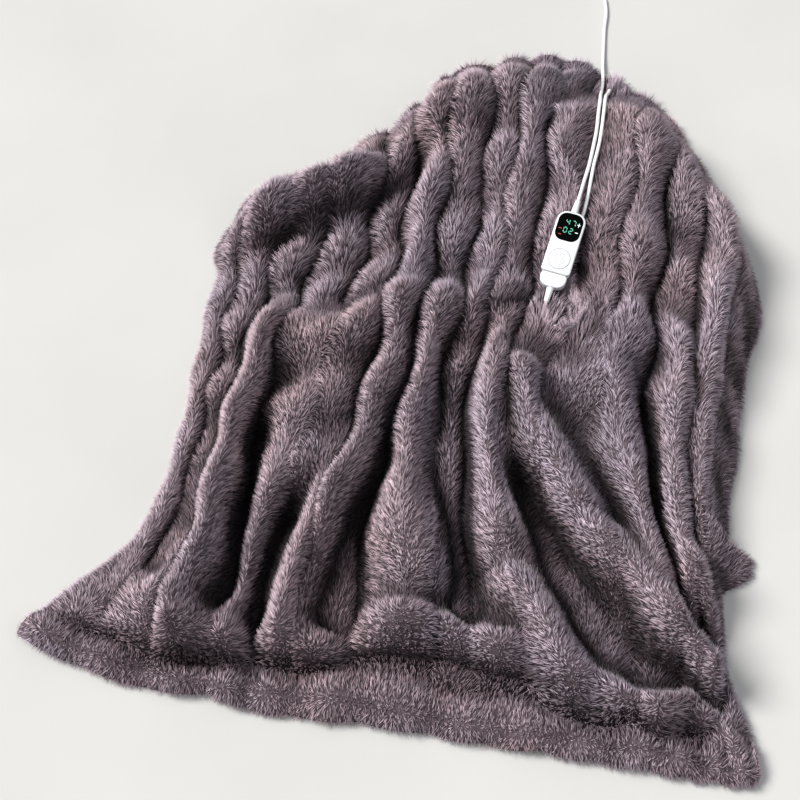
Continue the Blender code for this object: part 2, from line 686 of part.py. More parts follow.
def build_coil(collection, material):
    """The put-away turns as one turned ring."""
    high, low = COIL_HEIGHT, TOUCH
    inner, outer = COIL_RADIUS - COIL_HALF_WIDTH, COIL_RADIUS + COIL_HALF_WIDTH
    profile = (
        (outer - COIL_ROUND, high),
        (outer, high - COIL_ROUND),
        (outer, low + COIL_ROUND),
        (outer - COIL_ROUND, low),
        (inner + COIL_ROUND, low),
        (inner, low + COIL_ROUND),
        (inner, high - COIL_ROUND),
        (inner + COIL_ROUND, high),
    )
    mesh = bpy.data.meshes.new("mains_coil")
    edges = [(i, (i + 1) % len(profile)) for i in range(len(profile))]
    mesh.from_pydata([(x, 0.0, z) for x, z in profile], edges, [])
    coil = add_object("mains_coil", mesh, collection, material)
    coil.location = COIL_PLACE
    screw = coil.modifiers.new("turn", "SCREW")
    screw.steps = COIL_STEPS
    screw.render_steps = COIL_STEPS
    screw.use_merge_vertices = True
    screw.merge_threshold = 0.0001
    return coil


def box_piece(name, middle, size, edge, collection, material):
    bm = bmesh.new()
    bmesh.ops.create_cube(bm, size=1.0)
    bmesh.ops.scale(bm, vec=size, verts=bm.verts)
    mesh = bpy.data.meshes.new(name)
    bm.to_mesh(mesh)
    bm.free()
    obj = add_object(name, mesh, collection, material)
    obj.location = middle
    if edge > 0.0:
        bevel = obj.modifiers.new("edges", "BEVEL")
        bevel.width = edge
        bevel.segments = 2
    return obj


def build_plug(collection, white, metal):
    """Tail of the lead, and its two-blade plug lying beside the coil and pointing along +X."""
    start = COIL_PLACE + Vector((COIL_RADIUS + COIL_HALF_WIDTH + 2 * TOUCH, 0.0, COIL_HEIGHT / 2))
    end = Vector((start.x + TAIL_LENGTH, start.y, PLUG_Z))
    third = Vector((TAIL_LENGTH / 3, 0.0, 0.0))
    build_lead("mains_tail", smooth_route((start, start + third, end - third, end), 0.008), collection, white)
    neck = end + Vector((TOUCH, 0.0, 0.0))
    cone_piece(
        "plug_neck", neck, Vector((1.0, 0.0, 0.0)), RELIEF_LENGTH, RELIEF_NARROW, PLUG_NECK_WIDE, collection, white
    )
    body_x = neck.x + RELIEF_LENGTH + TOUCH + PLUG_BODY.x / 2
    box_piece("plug_body", Vector((body_x, end.y, PLUG_Z)), PLUG_BODY, PLUG_EDGE, collection, white)
    pin_x = body_x + PLUG_BODY.x / 2 + TOUCH + PIN_SIZE.x / 2
    for name, side in (("plug_pin_left", 0.5), ("plug_pin_right", -0.5)):
        middle = Vector((pin_x, end.y + side * PIN_SPACING, PLUG_Z))
        box_piece(name, middle, PIN_SIZE, 0.0, collection, metal)


def clear_scene():
    for obj in list(bpy.data.objects):
        bpy.data.objects.remove(obj, do_unlink=True)


def build():
    clear_scene()
    parts = make_collection(COLLECTION)
    cutters = make_collection("cutters")
    plush = make_material("plush", (0.17, 0.14, 0.16), 0.95)
    white = make_material("white_plastic", (0.85, 0.86, 0.87), 0.35)
    pale = make_material("key_plastic", (0.80, 0.81, 0.83), 0.45)
    black = make_material("display_black", (0.01, 0.01, 0.012), 0.12)
    lead = make_material("lead_white", (0.83, 0.83, 0.82), 0.5)
    metal = make_material("pin_metal", (0.75, 0.75, 0.76), 0.25, 1.0)
    build_cloth(parts, plush)
    build_controller(parts, cutters, white, black, pale)
    build_lead("mains_lead", smooth_route(MAINS_ROUTE, LEAD_STEP), parts, lead)
    build_lead("blanket_lead", smooth_route(BLANKET_ROUTE, LEAD_STEP), parts, lead)
    gland_start, gland_along = gland_frame()
    cone_piece(
        "blanket_gland", gland_start, gland_along, GLAND_LENGTH, RELIEF_NARROW, GLAND_WIDE, parts, white
    )
    build_coil(parts, lead)
    build_plug(parts, white, metal)


build()
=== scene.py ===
"""Electric heated blanket: long-pile cloth, hand controller, leads, floor and light.

Metres, in the part's own frame: +Z up, origin at floor level, hem towards -Y.
"""

import math

import bmesh
import bpy
import numpy as np
from mathutils import Matrix, Vector


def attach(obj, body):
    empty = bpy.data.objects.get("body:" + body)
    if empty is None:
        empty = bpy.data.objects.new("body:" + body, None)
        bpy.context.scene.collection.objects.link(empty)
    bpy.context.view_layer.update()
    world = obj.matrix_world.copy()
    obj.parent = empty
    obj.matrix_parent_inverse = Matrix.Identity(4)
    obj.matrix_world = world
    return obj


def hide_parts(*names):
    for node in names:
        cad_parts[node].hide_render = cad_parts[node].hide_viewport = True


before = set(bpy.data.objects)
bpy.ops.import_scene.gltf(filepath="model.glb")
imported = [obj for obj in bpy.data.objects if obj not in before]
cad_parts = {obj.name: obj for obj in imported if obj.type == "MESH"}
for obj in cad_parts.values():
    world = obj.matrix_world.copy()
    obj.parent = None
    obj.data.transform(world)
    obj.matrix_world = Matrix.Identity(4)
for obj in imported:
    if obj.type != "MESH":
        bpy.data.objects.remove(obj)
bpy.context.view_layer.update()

TOUCH = 0.0003

# ---------------------------------------------------------------- camera
VIEW_TARGET = Vector((-0.02286, -0.05441, 0.0))
VIEW_DISTANCE = 2.2
VIEW_ELEVATION = math.radians(60.0)
VIEW_LENS = 63.0

# ---------------------------------------------------------------- leads
LEAD_RADIUS = 0.003
MAINS_ROUTE = (
    (0.2687, 0.2722, 0.0859),
    (0.2717, 0.2813, 0.0879),
    (0.2770, 0.3000, 0.0845),
    (0.2840, 0.3250, 0.0790),
    (0.2920, 0.3500, 0.0812),
    (0.3020, 0.3900, 0.0878),
    (0.3085, 0.4200, 0.0915),
    (0.3135, 0.4550, 0.0978),
    (0.3180, 0.4800, 0.0955),
    (0.3230, 0.5080, 0.0765),
    (0.3300, 0.5400, 0.0465),
    (0.3365, 0.5700, 0.0228),
    (0.3410, 0.5920, 0.0128),
    (0.3435, 0.6150, 0.0106),
    (0.3450, 0.6400, 0.0074),
    (0.3490, 0.6750, 0.0040),
    (0.3560, 0.7400, 0.0034),
    (0.3620, 0.7760, 0.0034),
)
BLANKET_ROUTE = (
    (0.2117, 0.1069, 0.0358),
    (0.2092, 0.0996, 0.0341),
    (0.2066, 0.0875, 0.0342),
    (0.2104, 0.0741, 0.0350),
    (0.2195, 0.0642, 0.0357),
    (0.2319, 0.0591, 0.0341),
    (0.2453, 0.0597, 0.0330),
    (0.2572, 0.0659, 0.0340),
    (0.2654, 0.0765, 0.0358),
    (0.2675, 0.0896, 0.0366),
    (0.2650, 0.1012, 0.0348),
    (0.2605, 0.1130, 0.0308),
    (0.2560, 0.1250, 0.0272),
    (0.2510, 0.1370, 0.0262),
    (0.2468, 0.1490, 0.0290),
    (0.2455, 0.1615, 0.0346),
    (0.2536, 0.1887, 0.0468),
    (0.2630, 0.2160, 0.0566),
    (0.2724, 0.2433, 0.0649),
    (0.2818, 0.2705, 0.0731),
    (0.2885, 0.2980, 0.0758),
    (0.2945, 0.3250, 0.0778),
    (0.3000, 0.3500, 0.0818),
    (0.3110, 0.3900, 0.0880),
    (0.3170, 0.4200, 0.0916),
    (0.3225, 0.4550, 0.0978),
    (0.3265, 0.4800, 0.0955),
    (0.3330, 0.5080, 0.0765),
    (0.3420, 0.5380, 0.0485),
    (0.3490, 0.5620, 0.0325),
)
GLAND_LENGTH = 0.026
GLAND_WIDE = 0.0070
GLAND_STEPS = 7
BED_ACROSS = 0.012
BED_ALONG = 0.011
BED_SLOPE = 0.8
BED_STEP = 0.004
COIL_PLACE = Vector((0.365, 0.876, 0.0))
COIL_IN = 0.0264
COIL_OUT = 0.0415
COIL_LOW = 0.0034
COIL_HIGH = 0.0094
COIL_WHOLE_TURNS = 5
COIL_LAYER = 2.475
COIL_STEPS = 20
ROUTE_STEPS = 12
CORD_STEP = 0.009
ARC_STEP = 0.006
ENTRY_X = 0.3625
ENTRY_BEND = 0.045
NECK_START = Vector((0.4421, 0.876, 0.0105))

# ---------------------------------------------------------------- cloth
PLUSH_IN_VALLEY = 0.008
PLUSH_ON_CREST = 0.032
PLUSH_LUMP = 0.26
LUMPS_ALONG = 9.0
LUMP_STEP = 1.05
LOWER_CALM = 0.5
CALM_RUN = 0.45
CALM_FADE = 0.25
CALM_SHARE = 0.3
RIB_FULLNESS = 0.60
RIB_GATHER = 0.24
WAVE_REACH = 0.008
WAVES_ALONG = 6.5
PHASE_STEP = 0.618
CALM_VALLEYS = (0, 10, 13, 14, 15)
SCALLOP_REACH = 0.010
HEM_SCALLOP = 0.5
SCALLOP_RUN = 0.04
FLOOR_CUT = 0.006
EDGE_RIBS = 1.3
EDGE_RUN = 0.045
HEM_ROLL = 0.034
HEM_ROLL_HALF = 0.62
HEM_ROLL_RIM = 0.12
HEM_CREASE = 0.955
HEM_FADE = 0.028
HEM_GATHER = 0.2
#    turn   phase  size
HEM_LUMPS = (
    (2.3, 0.6, 0.18),
    (5.9, 0.0, 0.16),
)
HEM_WANDER = (
    (0.785, -0.40, 0.010),
    (2.600, 1.00, 0.006),
)
RIM_PLUSH = 0.72
CEILING_CLEAR = 0.0004
THIN_CLOTH = 0.0035
# Unevenness of the pile's depth: bumps to a rib, bumps to the whole run, seed, size.
FUZZ = ((2.1, 34.0, 11, 0.5), (4.3, 70.0, 12, 0.3))
FUZZ_SIZE = 0.16
#    x_000   x_020   x_040   x_060   x_080   x_100   y_top   y_hem
VALLEYS = np.array((
    (-0.295, -0.325, -0.345, -0.365, -0.415, -0.568, 0.315, -0.445),
    (-0.235, -0.285, -0.310, -0.335, -0.378, -0.475, 0.355, -0.490),
    (-0.160, -0.220, -0.265, -0.300, -0.330, -0.380, 0.390, -0.520),
    (-0.100, -0.150, -0.200, -0.245, -0.260, -0.295, 0.435, -0.530),
    (-0.035, -0.065, -0.115, -0.160, -0.210, -0.235, 0.485, -0.550),
    (0.020, 0.000, -0.040, -0.090, -0.155, -0.175, 0.555, -0.560),
    (0.075, 0.060, 0.025, -0.025, -0.080, -0.085, 0.615, -0.570),
    (0.145, 0.125, 0.085, 0.030, 0.025, 0.020, 0.635, -0.585),
    (0.215, 0.175, 0.135, 0.080, 0.075, 0.090, 0.650, -0.600),
    (0.280, 0.225, 0.190, 0.125, 0.130, 0.170, 0.650, -0.610),
    (0.345, 0.300, 0.255, 0.185, 0.220, 0.245, 0.615, -0.625),
    (0.400, 0.365, 0.320, 0.270, 0.295, 0.310, 0.575, -0.635),
    (0.445, 0.420, 0.380, 0.345, 0.360, 0.365, 0.520, -0.646),
    (0.480, 0.470, 0.435, 0.395, 0.395, 0.405, 0.445, -0.651),
    (0.510, 0.505, 0.470, 0.425, 0.415, 0.435, 0.365, -0.656),
    (0.535, 0.530, 0.500, 0.460, 0.435, 0.465, 0.250, -0.651),
))
RIBS = len(VALLEYS) - 1
#    side     run   half_run reach  ribs
EDGE_FLAPS = (
    ("left", 0.10, 0.050, 0.015, 2.0),
    ("right", 0.15, 0.100, 0.026, 2.5),
    ("right", 0.66, 0.032, 0.042, 1.0),
)
#    rib_0  run_0  rib_1  run_1  half_ribs  end_run  height
FOLDS = (
    (5.6, 0.09, 12.0, 0.12, 1.3, 0.060, 0.070),
    (6.4, 0.20, 11.4, 0.22, 1.2, 0.100, 0.044),
    (0.9, 0.10, 2.9, 0.13, 1.1, 0.060, 0.092),
    (13.8, 0.16, 13.9, 0.30, 1.0, 0.060, 0.078),
    (10.9, 0.16, 11.3, 0.42, 0.7, 0.060, 0.036),
    (6.0, 0.14, 5.3, 0.40, 0.6, 0.050, 0.030),
    (8.4, 0.16, 7.9, 0.40, 0.5, 0.050, 0.026),
    (9.9, 0.20, 10.1, 0.29, 0.5, 0.040, 0.022),
    (3.2, 0.41, 7.2, 0.45, 0.9, 0.040, 0.034),
    (2.7, 0.43, 2.1, 0.87, 0.5, 0.070, 0.076),
    (4.1, 0.48, 3.9, 0.66, 0.8, 0.060, 0.050),
    (3.05, 0.60, 2.95, 0.86, 0.3, 0.030, -0.050),
    (3.5, 0.72, 3.3, 0.88, 0.4, 0.040, 0.034),
    (4.05, 0.76, 3.9, 0.88, 0.4, 0.030, -0.045),
    (5.45, 0.50, 5.2, 0.66, 0.45, 0.060, 0.050),
    (5.1, 0.72, 4.7, 0.88, 0.45, 0.035, 0.072),
    (6.0, 0.66, 5.6, 0.88, 0.35, 0.030, -0.050),
    (6.5, 0.50, 6.3, 0.64, 0.5, 0.060, 0.044),
    (6.3, 0.72, 6.9, 0.82, 0.6, 0.035, 0.060),
    (7.7, 0.58, 7.8, 0.85, 0.4, 0.030, -0.055),
    (8.6, 0.52, 8.9, 0.76, 0.5, 0.040, 0.078),
    (9.1, 0.83, 9.5, 0.90, 0.5, 0.028, 0.068),
    (10.0, 0.925, 11.0, 0.940, 0.5, 0.018, 0.052),
    (9.5, 0.70, 10.2, 0.84, 0.4, 0.030, -0.060),
    (10.5, 0.870, 11.8, 0.905, 0.4, 0.018, -0.050),
    (9.5, 0.55, 10.4, 0.70, 0.5, 0.030, 0.074),
    (10.8, 0.75, 11.6, 0.82, 0.5, 0.030, 0.074),
    (12.2, 0.845, 13.3, 0.865, 0.5, 0.025, 0.072),
    (12.4, 0.900, 13.4, 0.910, 0.4, 0.014, -0.045),
    (11.4, 0.945, 12.0, 0.915, 0.3, 0.016, 0.050),
    (11.2, 0.51, 11.7, 0.62, 0.5, 0.050, 0.044),
    (11.8, 0.68, 12.0, 0.80, 0.4, 0.040, 0.050),
    (12.2, 0.54, 12.3, 0.80, 0.25, 0.030, -0.050),
    (12.7, 0.44, 12.8, 0.74, 0.5, 0.060, 0.062),
    (13.6, 0.38, 14.0, 0.66, 0.7, 0.060, 0.056),
    (13.3, 0.74, 14.2, 0.77, 0.5, 0.028, 0.050),
    (0.7, 0.86, 2.4, 0.91, 0.8, 0.030, 0.034),
    (2.3, 0.935, 3.4, 0.930, 0.4, 0.022, 0.040),
    (4.2, 0.910, 5.4, 0.920, 0.4, 0.020, 0.034),
    (6.7, 0.885, 8.5, 0.900, 0.5, 0.020, 0.052),
    (6.5, 0.928, 8.9, 0.936, 0.4, 0.010, -0.040),
    (12.6, 0.91, 13.9, 0.94, 0.8, 0.030, 0.036),
)
# Where two ribs run together and the valley between them nearly goes.
#    valley run_0  run_1  share
MERGES = (
    (1, 0.86, 0.95, 0.6),
    (2, 0.04, 0.20, 0.6),
    (3, 0.04, 0.18, 0.5),
    (3, 0.90, 0.95, 0.7),
    (4, 0.40, 0.68, 0.8),
    (5, 0.88, 0.95, 0.8),
    (6, 0.90, 0.95, 0.6),
    (7, 0.62, 0.95, 0.7),
    (8, 0.86, 0.95, 0.7),
    (9, 0.60, 0.95, 0.8),
    (10, 0.45, 0.95, 0.8),
    (11, 0.45, 0.95, 0.8),
    (12, 0.78, 0.92, 0.8),
    (13, 0.50, 0.90, 0.6),
    (14, 0.44, 0.72, 0.6),
)
MERGE_END = 0.035

# How far folds and ribs stand out from what is round them, which sets the painted shade in creases
# and the painted light on ridges of the cloth's colour.
MAP_PLACES = 1000
MAP_HALF = 0.8
MAP_CELL = 0.004
MAP_SIZE = round(2 * MAP_HALF / MAP_CELL)
MAP_NEAR = 0.012
MAP_WIDE = 0.036
PAINTED_SHADE_LEVEL = 0.55
PAINTED_SHADE_NEAR = 45.0
PAINTED_SHADE_WIDE = 12.0
# Painted shade held back near the hem, and the fixed level of painted light on the rim strands.
HEM_SHADE_LIMIT = 0.36
HEM_SHADE_LIMIT_RUN = 0.90
HEM_SHADE_LIMIT_FADE = 0.04
RIM_PAINTED_LIGHT = 0.8

# The scene's own sheet lies under the pile, which stands on it as strands.
SHEET_COLUMNS = 225
SHEET_ROWS = 165
AREA_COLUMNS = 300
AREA_ROWS = 240
BACKING_SHARE = 0.66
SLOPE_STEP = 0.004
STRANDS = 186000
STRAND_PIECES = 4
STRAND_SHORT = 0.0074
STRAND_LONG = 0.0092
STRAND_WIDTH = 0.00070
WIDTH_RANGE = (0.75, 1.3)
ROOT_SINK = 0.0015
STRAND_LOWEST = 0.0002
TIP_LOWEST = 0.0016
LENGTH_RANGE = (0.66, 1.22)
LENGTH_UNEVEN = 0.18
HEM_SHORTER = 0.10
TUFT = 0.0074
TUFT_PULL = 0.48
TUFT_JITTER = 0.38
TUFT_TINT = 0.25
STRAND_TINT = 0.16
RIB_SPAN = 0.085
RUN_SPAN = 1.45
# Strands turn away from their rib's crest, and the noises below comb them.
AWAY_TURN = math.radians(50.0)
AWAY_LESS_AT_HEM = 0.75
SWIRL_TURN = math.radians(26.0)
COMB_TURN = math.radians(14.0)
STRAY_TURN = math.radians(9.0)
EDGE_TURN = math.radians(35.0)
EDGE_TURN_RIBS = 0.5
LIFT = 0.66
LIFT_UNEVEN = 0.16
LIFT_STRAY = 0.09
LIFT_RANGE = (0.25, 1.4)
HEM_LIFT = 0.14
# Near the hem's edge the pile parts: above it strands lie up the cloth, and below it outwards.
PARTING_RUN = 0.972
PARTING_WANDER = 0.009
PARTING_FADE = 0.022
NOISE_CELLS = 64
#    name: bumps to a metre, x, y, seed
GRAINS = {
    "swirl": (22.0, 9, 31, 21),
    "comb": (70.0, 9, 31, 22),
    "lift": (45.0, 5, 50, 23),
    "length": (30.0, 7, 3, 24),
    "parting": (14.0, 3, 8, 25),
}
# Below the seat's fold the pile stands shorter and more upright.
LOWER_RUN = 0.38
LOWER_FADE = 0.18
LOWER_LIFT = 0.30
LOWER_SHORTER = 0.30
# Over the covered loop of the second lead the pile stays long.
LOOP_MIDDLE = (0.238, 0.095)
LOOP_REACH = 0.058
LOOP_FADE = 0.050
# Strands that stand out all round the cloth's edge.
RIM_STRANDS = 6000
RIM_INWARD_RIB = 0.15
RIM_INWARD_RUN = 0.01
RIM_ROOT = 0.001
RIM_NORMAL_UP = 0.8
RIM_STRAY = 0.20
RIM_UP = 0.35
RIM_RANGE = (0.006, 0.013)
# Strands that lie over the second lead's loop and over its gland.
LOOP_POINTS = slice(2, 15)
GLAND_NARROW = 0.0040
GLAND_BACK = 0.006
GLAND_MIDDLES = 18
COVER_STEP = 0.002
COVER_STRANDS = 1700
COVER_RIB = 11.0
COVER_HALF = 0.98
COVER_OUTSIDE = 1.15
COVER_BESIDE = 2.6
COVER_CLIMB = 1.1
COVER_OVER = 0.0020
COVER_LEVEL = 0.008
COVER_SLOPE = 0.22
COVER_SINK = 0.0010
COVER_LOW = 0.10
COVER_HIGH = 0.45
COVER_REACH = 0.032
COVER_LEAN = 0.12
COVER_LIFT = 0.0016
COVER_RANGE = (0.8, 1.15)
LIFT_TRIES = 9
MAINS_OPEN = 0.020
# How far along a strand it is tested against the controller and the leads.
CASE_SHARES = (0.2, 0.35, 0.5, 0.65, 0.8, 0.9, 1.0)
LEAD_SHARES = (0.5, 0.8, 1.0)
COVER_SHARES = (0.3, 0.5, 0.7, 0.85, 1.0)
LEAN_SHARES = (0.3, 0.45, 0.6, 0.75, 0.9, 1.0)
STRAND_CLEAR = 0.0006
# Where on the floor plan the leads are looked for: x low, x high, y low.
BEDS_BOX = (0.12, 0.45, -0.03)
FILL_BOX = (0.17, 0.40, 0.03)
LEAN_BOX = (0.18, 0.40, 0.03)
LEADS_BOX = (0.18, 0.40, 0.02)
BLOCK = 20000

# Colours of the cloth: along a strand, from strand to strand, over patches, and by openness:
# painted shade in creases and painted light on ridges.
PILE_ALONG = (
    (0.0, (0.060, 0.041, 0.048)),
    (0.5, (0.272, 0.212, 0.241)),
    (1.0, (0.621, 0.514, 0.565)),
)
PILE_TINT = (0.0, (0.55, 0.53, 0.54)), (0.5, (0.98, 0.98, 0.98)), (1.0, (1.50, 1.50, 1.52))
PILE_WARMTH = (0.35, (1.06, 0.99, 0.95)), (0.65, (0.96, 0.99, 1.05))
# Painted shade in creases and painted light on ridges of the pile.
PILE_PAINTED_SHADE = (
    (0.0, (0.04, 0.025, 0.03)),
    (0.3, (0.46, 0.42, 0.43)),
    (0.55, (1.0, 0.98, 0.99)),
    (1.0, (1.26, 1.26, 1.26)),
)
BACKING_WOOL = (
    (0.30, (0.030, 0.021, 0.025)),
    (0.55, (0.090, 0.067, 0.078)),
    (0.75, (0.180, 0.142, 0.160)),
)
# Painted shade in creases and painted light on ridges of the sheet under the pile.
BACKING_PAINTED_SHADE = (0.0, (0.10, 0.07, 0.08)), (0.5, (0.8, 0.8, 0.8)), (1.0, (1.3, 1.3, 1.3))

# ---------------------------------------------------------------- hand controller
CONTROLLER_PLACE = Vector((0.241, 0.192, 0.052))
CONTROLLER = (
    Matrix.Translation(CONTROLLER_PLACE)
    @ Matrix.Rotation(math.radians(-19.0), 4, "Z")
    @ Matrix.Rotation(math.radians(16.0), 4, "X")
)
CASE_WIDTH = 0.048
CASE_TOP_Y = 0.066
RELIEF_LENGTH = 0.024
CASE_ENDS = (-0.0668, 0.0664)
CASE_HEIGHTS = (-0.0004, 0.0200)
CASE_CLEAR = 0.0004
RELIEF_HALF = 0.0062
RELIEF_ENDS = 0.091
RELIEF_Z = 0.0092
DISPLAY_TOP = 0.0195
DISPLAY_Y = 0.0383
KEY_TOP = 0.0199
KEYS_Y = -0.0180
MARK_DEPTH = 0.00015
DIGIT_HIGH = 0.0100
DIGIT_WIDE = 0.0062
STROKE = 0.0011
# Which strokes of a digit are lit: top, middle, foot, then the upper and lower pairs of sides.
STROKES = {4: "0101101", 7: "1000101", 0: "1011111", 2: "1110110"}
#    digit  x        y
DIGITS = (
    (4, -0.0042, 0.0084),
    (7, 0.0060, 0.0080),
    (0, -0.0052, -0.0058),
    (2, 0.0042, -0.0060),
)
#    x        y        wide    high
WHITE_MARKS = (
    (0.0142, 0.0070, 0.0052, 0.0010),
    (0.0142, 0.0070, 0.0010, 0.0066),
    (0.0140, -0.0066, 0.0048, 0.0011),
)
RED_MARKS = (
    (-0.0138, -0.0048, 0.0052, 0.0011),
    (-0.0118, -0.0148, 0.0050, 0.0011),
)
#    outer    inner
RING_LINE = (0.0174, 0.0167)
CENTRE_LINE = (0.0062, 0.0055)
CENTRE_TURNS = (125.0, 415.0)
CENTRE_BAR = 0.0052

# ---------------------------------------------------------------- light
SUN_WAY = Vector((-1.7, 0.45, 1.9))
FILL_PLACE = Vector((1.8, -1.2, 2.4))
FILL_TARGET = Vector((0.1, -0.1, 0.0))


def smooth_step(x):
    x = np.clip(x, 0.0, 1.0)
    return x * x * (3.0 - 2.0 * x)


def cubic(start, slope_in, end, slope_out, t):
    """The smooth curve from start to end with these slopes, at t from 0 to 1."""
    return (
        start * (2 * t**3 - 3 * t**2 + 1)
        + slope_in * (t**3 - 2 * t**2 + t)
        + end * (3 * t**2 - 2 * t**3)
        + slope_out * (t**3 - t**2)
    )


def noise(u, v, seed):
    """Smooth noise from -1 to 1, with about one bump to each unit square."""
    size = NOISE_CELLS
    grid = np.random.default_rng(seed).uniform(-1.0, 1.0, (size, size))
    i, j = np.floor(u).astype(int), np.floor(v).astype(int)
    s, t = smooth_step(u - i), smooth_step(v - j)
    near = grid[i % size, j % size] * (1 - s) + grid[(i + 1) % size, j % size] * s
    far = grid[i % size, (j + 1) % size] * (1 - s) + grid[(i + 1) % size, (j + 1) % size] * s
    return near * (1 - t) + far * t


def grain(places, name):
    """One of the named noises over the floor plan."""
    scale, x, y, seed = GRAINS[name]
    return noise(places[:, 0] * scale + x, places[:, 1] * scale + y, seed)


def hashed(a, b, seed):
    """A steady value from -1 to 1 for each pair of numbers."""
    value = np.sin(a * 12.9898 + b * 78.233 + seed * 37.719) * 43758.5453
    return 2.0 * (value - np.floor(value)) - 1.0


def unit(rows):
    return rows / np.linalg.norm(rows, axis=1)[:, None]


def as_rows(vectors):
    return np.array([tuple(v) for v in vectors])


def plan_gap(places, line):
    """Distances on the floor plan from each place to each place of a line."""
    return np.linalg.norm(places[:, None, :2] - line[:, :2], axis=-1)


def in_box(x, y, box):
    """Blocks of indices of the places in a box, small enough to measure against a line."""
    x_low, x_high, y_low = box
    near = np.nonzero((x > x_low) & (x < x_high) & (y > y_low))[0]
    return near, np.array_split(near, max(1, len(near) // BLOCK))


def smooth_route(route, step):
    """Places at even steps along a smooth curve through the route's points."""
    points = [Vector(p) for p in route]
    points = [2 * points[0] - points[1]] + points + [2 * points[-1] - points[-2]]
    fine = []
    for i in range(1, len(points) - 2):
        before, start, end, after = points[i - 1 : i + 3]
        span = (end - start).length
        slope_in = (end - before) / (span + (start - before).length) * span
        slope_out = (after - start) / ((after - end).length + span) * span
        for j in range(ROUTE_STEPS):
            fine.append(cubic(start, slope_in, end, slope_out, j / ROUTE_STEPS))
    fine.append(points[-2])
    lengths = [0.0]
    for a, b in zip(fine, fine[1:]):
        lengths.append(lengths[-1] + (b - a).length)
    count = max(2, round(lengths[-1] / step))
    placed, i = [], 0
    for j in range(count + 1):
        goal = lengths[-1] * j / count
        while i < len(lengths) - 2 and lengths[i + 1] < goal:
            i += 1
        share = (goal - lengths[i]) / (lengths[i + 1] - lengths[i])
        placed.append(fine[i].lerp(fine[i + 1], share))
    return placed


def gland_line(lengths):
    """Places on the gland's middle line, at lengths past the second lead's end."""
    end, before = Vector(BLANKET_ROUTE[-1]), Vector(BLANKET_ROUTE[-2])
    along = (end - before).normalized()
    return [end + along * length for length in lengths]


def add_object(name, data):
    obj = bpy.data.objects.new(name, data)
    bpy.context.scene.collection.objects.link(obj)
    return obj


def dress(obj, material, body):
    """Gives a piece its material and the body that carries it."""
    obj.data.materials.append(material)
    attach(obj, body)
    return obj


# ---------------------------------------------------------------- camera and cords, made first
def make_camera():
    data = bpy.data.cameras.new("view")
    data.lens = VIEW_LENS
    data.sensor_width = 36.0
    camera = add_object("view", data)
    back = Vector((0.0, -math.cos(VIEW_ELEVATION), math.sin(VIEW_ELEVATION)))
    camera.location = VIEW_TARGET + back * VIEW_DISTANCE
    camera.rotation_euler = (math.pi / 2 - VIEW_ELEVATION, 0.0, 0.0)
    bpy.context.scene.camera = camera


def cord_curve(name, places):
    """A round cable as a curve of one open spline."""
    curve = bpy.data.curves.new(name, "CURVE")
    curve.dimensions = "3D"
    curve.bevel_depth = LEAD_RADIUS
    curve.bevel_resolution = 4
    curve.use_fill_caps = True
    spline = curve.splines.new("POLY")
    spline.points.add(len(places) - 1)
    for point, place in zip(spline.points, places):
        point.co = (*place, 1.0)
    return add_object(name, curve)


def arc(middle, radius, start, turn, z_start, z_end):
    """Places along part of a circle, without its first."""
    steps = max(2, round(abs(radius * turn) / ARC_STEP))
    places = []
    for i in range(1, steps + 1):
        angle = start + turn * i / steps
        x, y = middle.x + radius * math.cos(angle), middle.y + radius * math.sin(angle)
        places.append(Vector((x, y, z_start + (z_end - z_start) * i / steps)))
    return places


def mains_places():
    """The whole mains lead: over the cloth, round its coil and out to the plug."""
    bend_in = math.acos((ENTRY_BEND + COIL_PLACE.x - ENTRY_X) / (COIL_OUT + ENTRY_BEND))
    entry_y = COIL_PLACE.y - (COIL_OUT + ENTRY_BEND) * math.sin(bend_in)
    entry = Vector((ENTRY_X, entry_y, COIL_LOW))
    places = smooth_route(MAINS_ROUTE + (tuple(entry),), CORD_STEP)
    middle = entry - Vector((ENTRY_BEND, 0.0, 0.0))
    places += arc(middle, ENTRY_BEND, 0.0, bend_in, COIL_LOW, COIL_LOW)
    span = NECK_START.x - COIL_PLACE.x
    tail_bend = (span**2 - COIL_OUT**2) / (2 * COIL_OUT)
    bend_out = math.acos(tail_bend / (COIL_OUT + tail_bend))
    start = math.pi + bend_in
    turns = COIL_WHOLE_TURNS + (start - math.pi / 2 + bend_out) / (2 * math.pi)
    shrink = (COIL_OUT - COIL_IN) / COIL_LAYER
    rise = turns - 2 * COIL_LAYER
    steps = round(turns * COIL_STEPS)
    for i in range(1, steps + 1):
        turn = turns * i / steps
        if turn < COIL_LAYER:
            radius, z = COIL_OUT - shrink * turn, COIL_LOW
        elif turn < COIL_LAYER + rise:
            t = (turn - COIL_LAYER) / rise
            radius, z = COIL_IN, COIL_LOW + (COIL_HIGH - COIL_LOW) * t * t * (3 - 2 * t)
        else:
            radius, z = COIL_IN + shrink * (turn - COIL_LAYER - rise), COIL_HIGH
        angle = start - 2 * math.pi * turn
        flat = Vector((radius * math.cos(angle), radius * math.sin(angle), z))
        places.append(COIL_PLACE + flat)
    middle = NECK_START + Vector((0.0, tail_bend, 0.0))
    places += arc(middle, tail_bend, -math.pi / 2 - bend_out, bend_out, COIL_HIGH, NECK_START.z)
    return places


# ---------------------------------------------------------------- cloth surface
def at_levels(rows, run):
    """Each row's six values, at even runs from 0 to 1, followed as a smooth curve."""
    last = rows.shape[-1] - 1
    place = np.clip(run, 0.0, 1.0) * last
    i = np.minimum(place.astype(int), last - 1)

    def take(j):
        return np.take_along_axis(rows, j[:, None], 1)[:, 0]

    before, start = take(np.maximum(i - 1, 0)), take(i)
    end, after = take(i + 1), take(np.minimum(i + 2, last))
    return cubic(start, (end - before) / 2.0, end, (after - start) / 2.0, place - i)


def calm_at(run):
    """How much of the waves and lumps is left: all of it high up, and less below the seat."""
    return 1.0 - LOWER_CALM * smooth_step((run - CALM_RUN) / CALM_FADE)


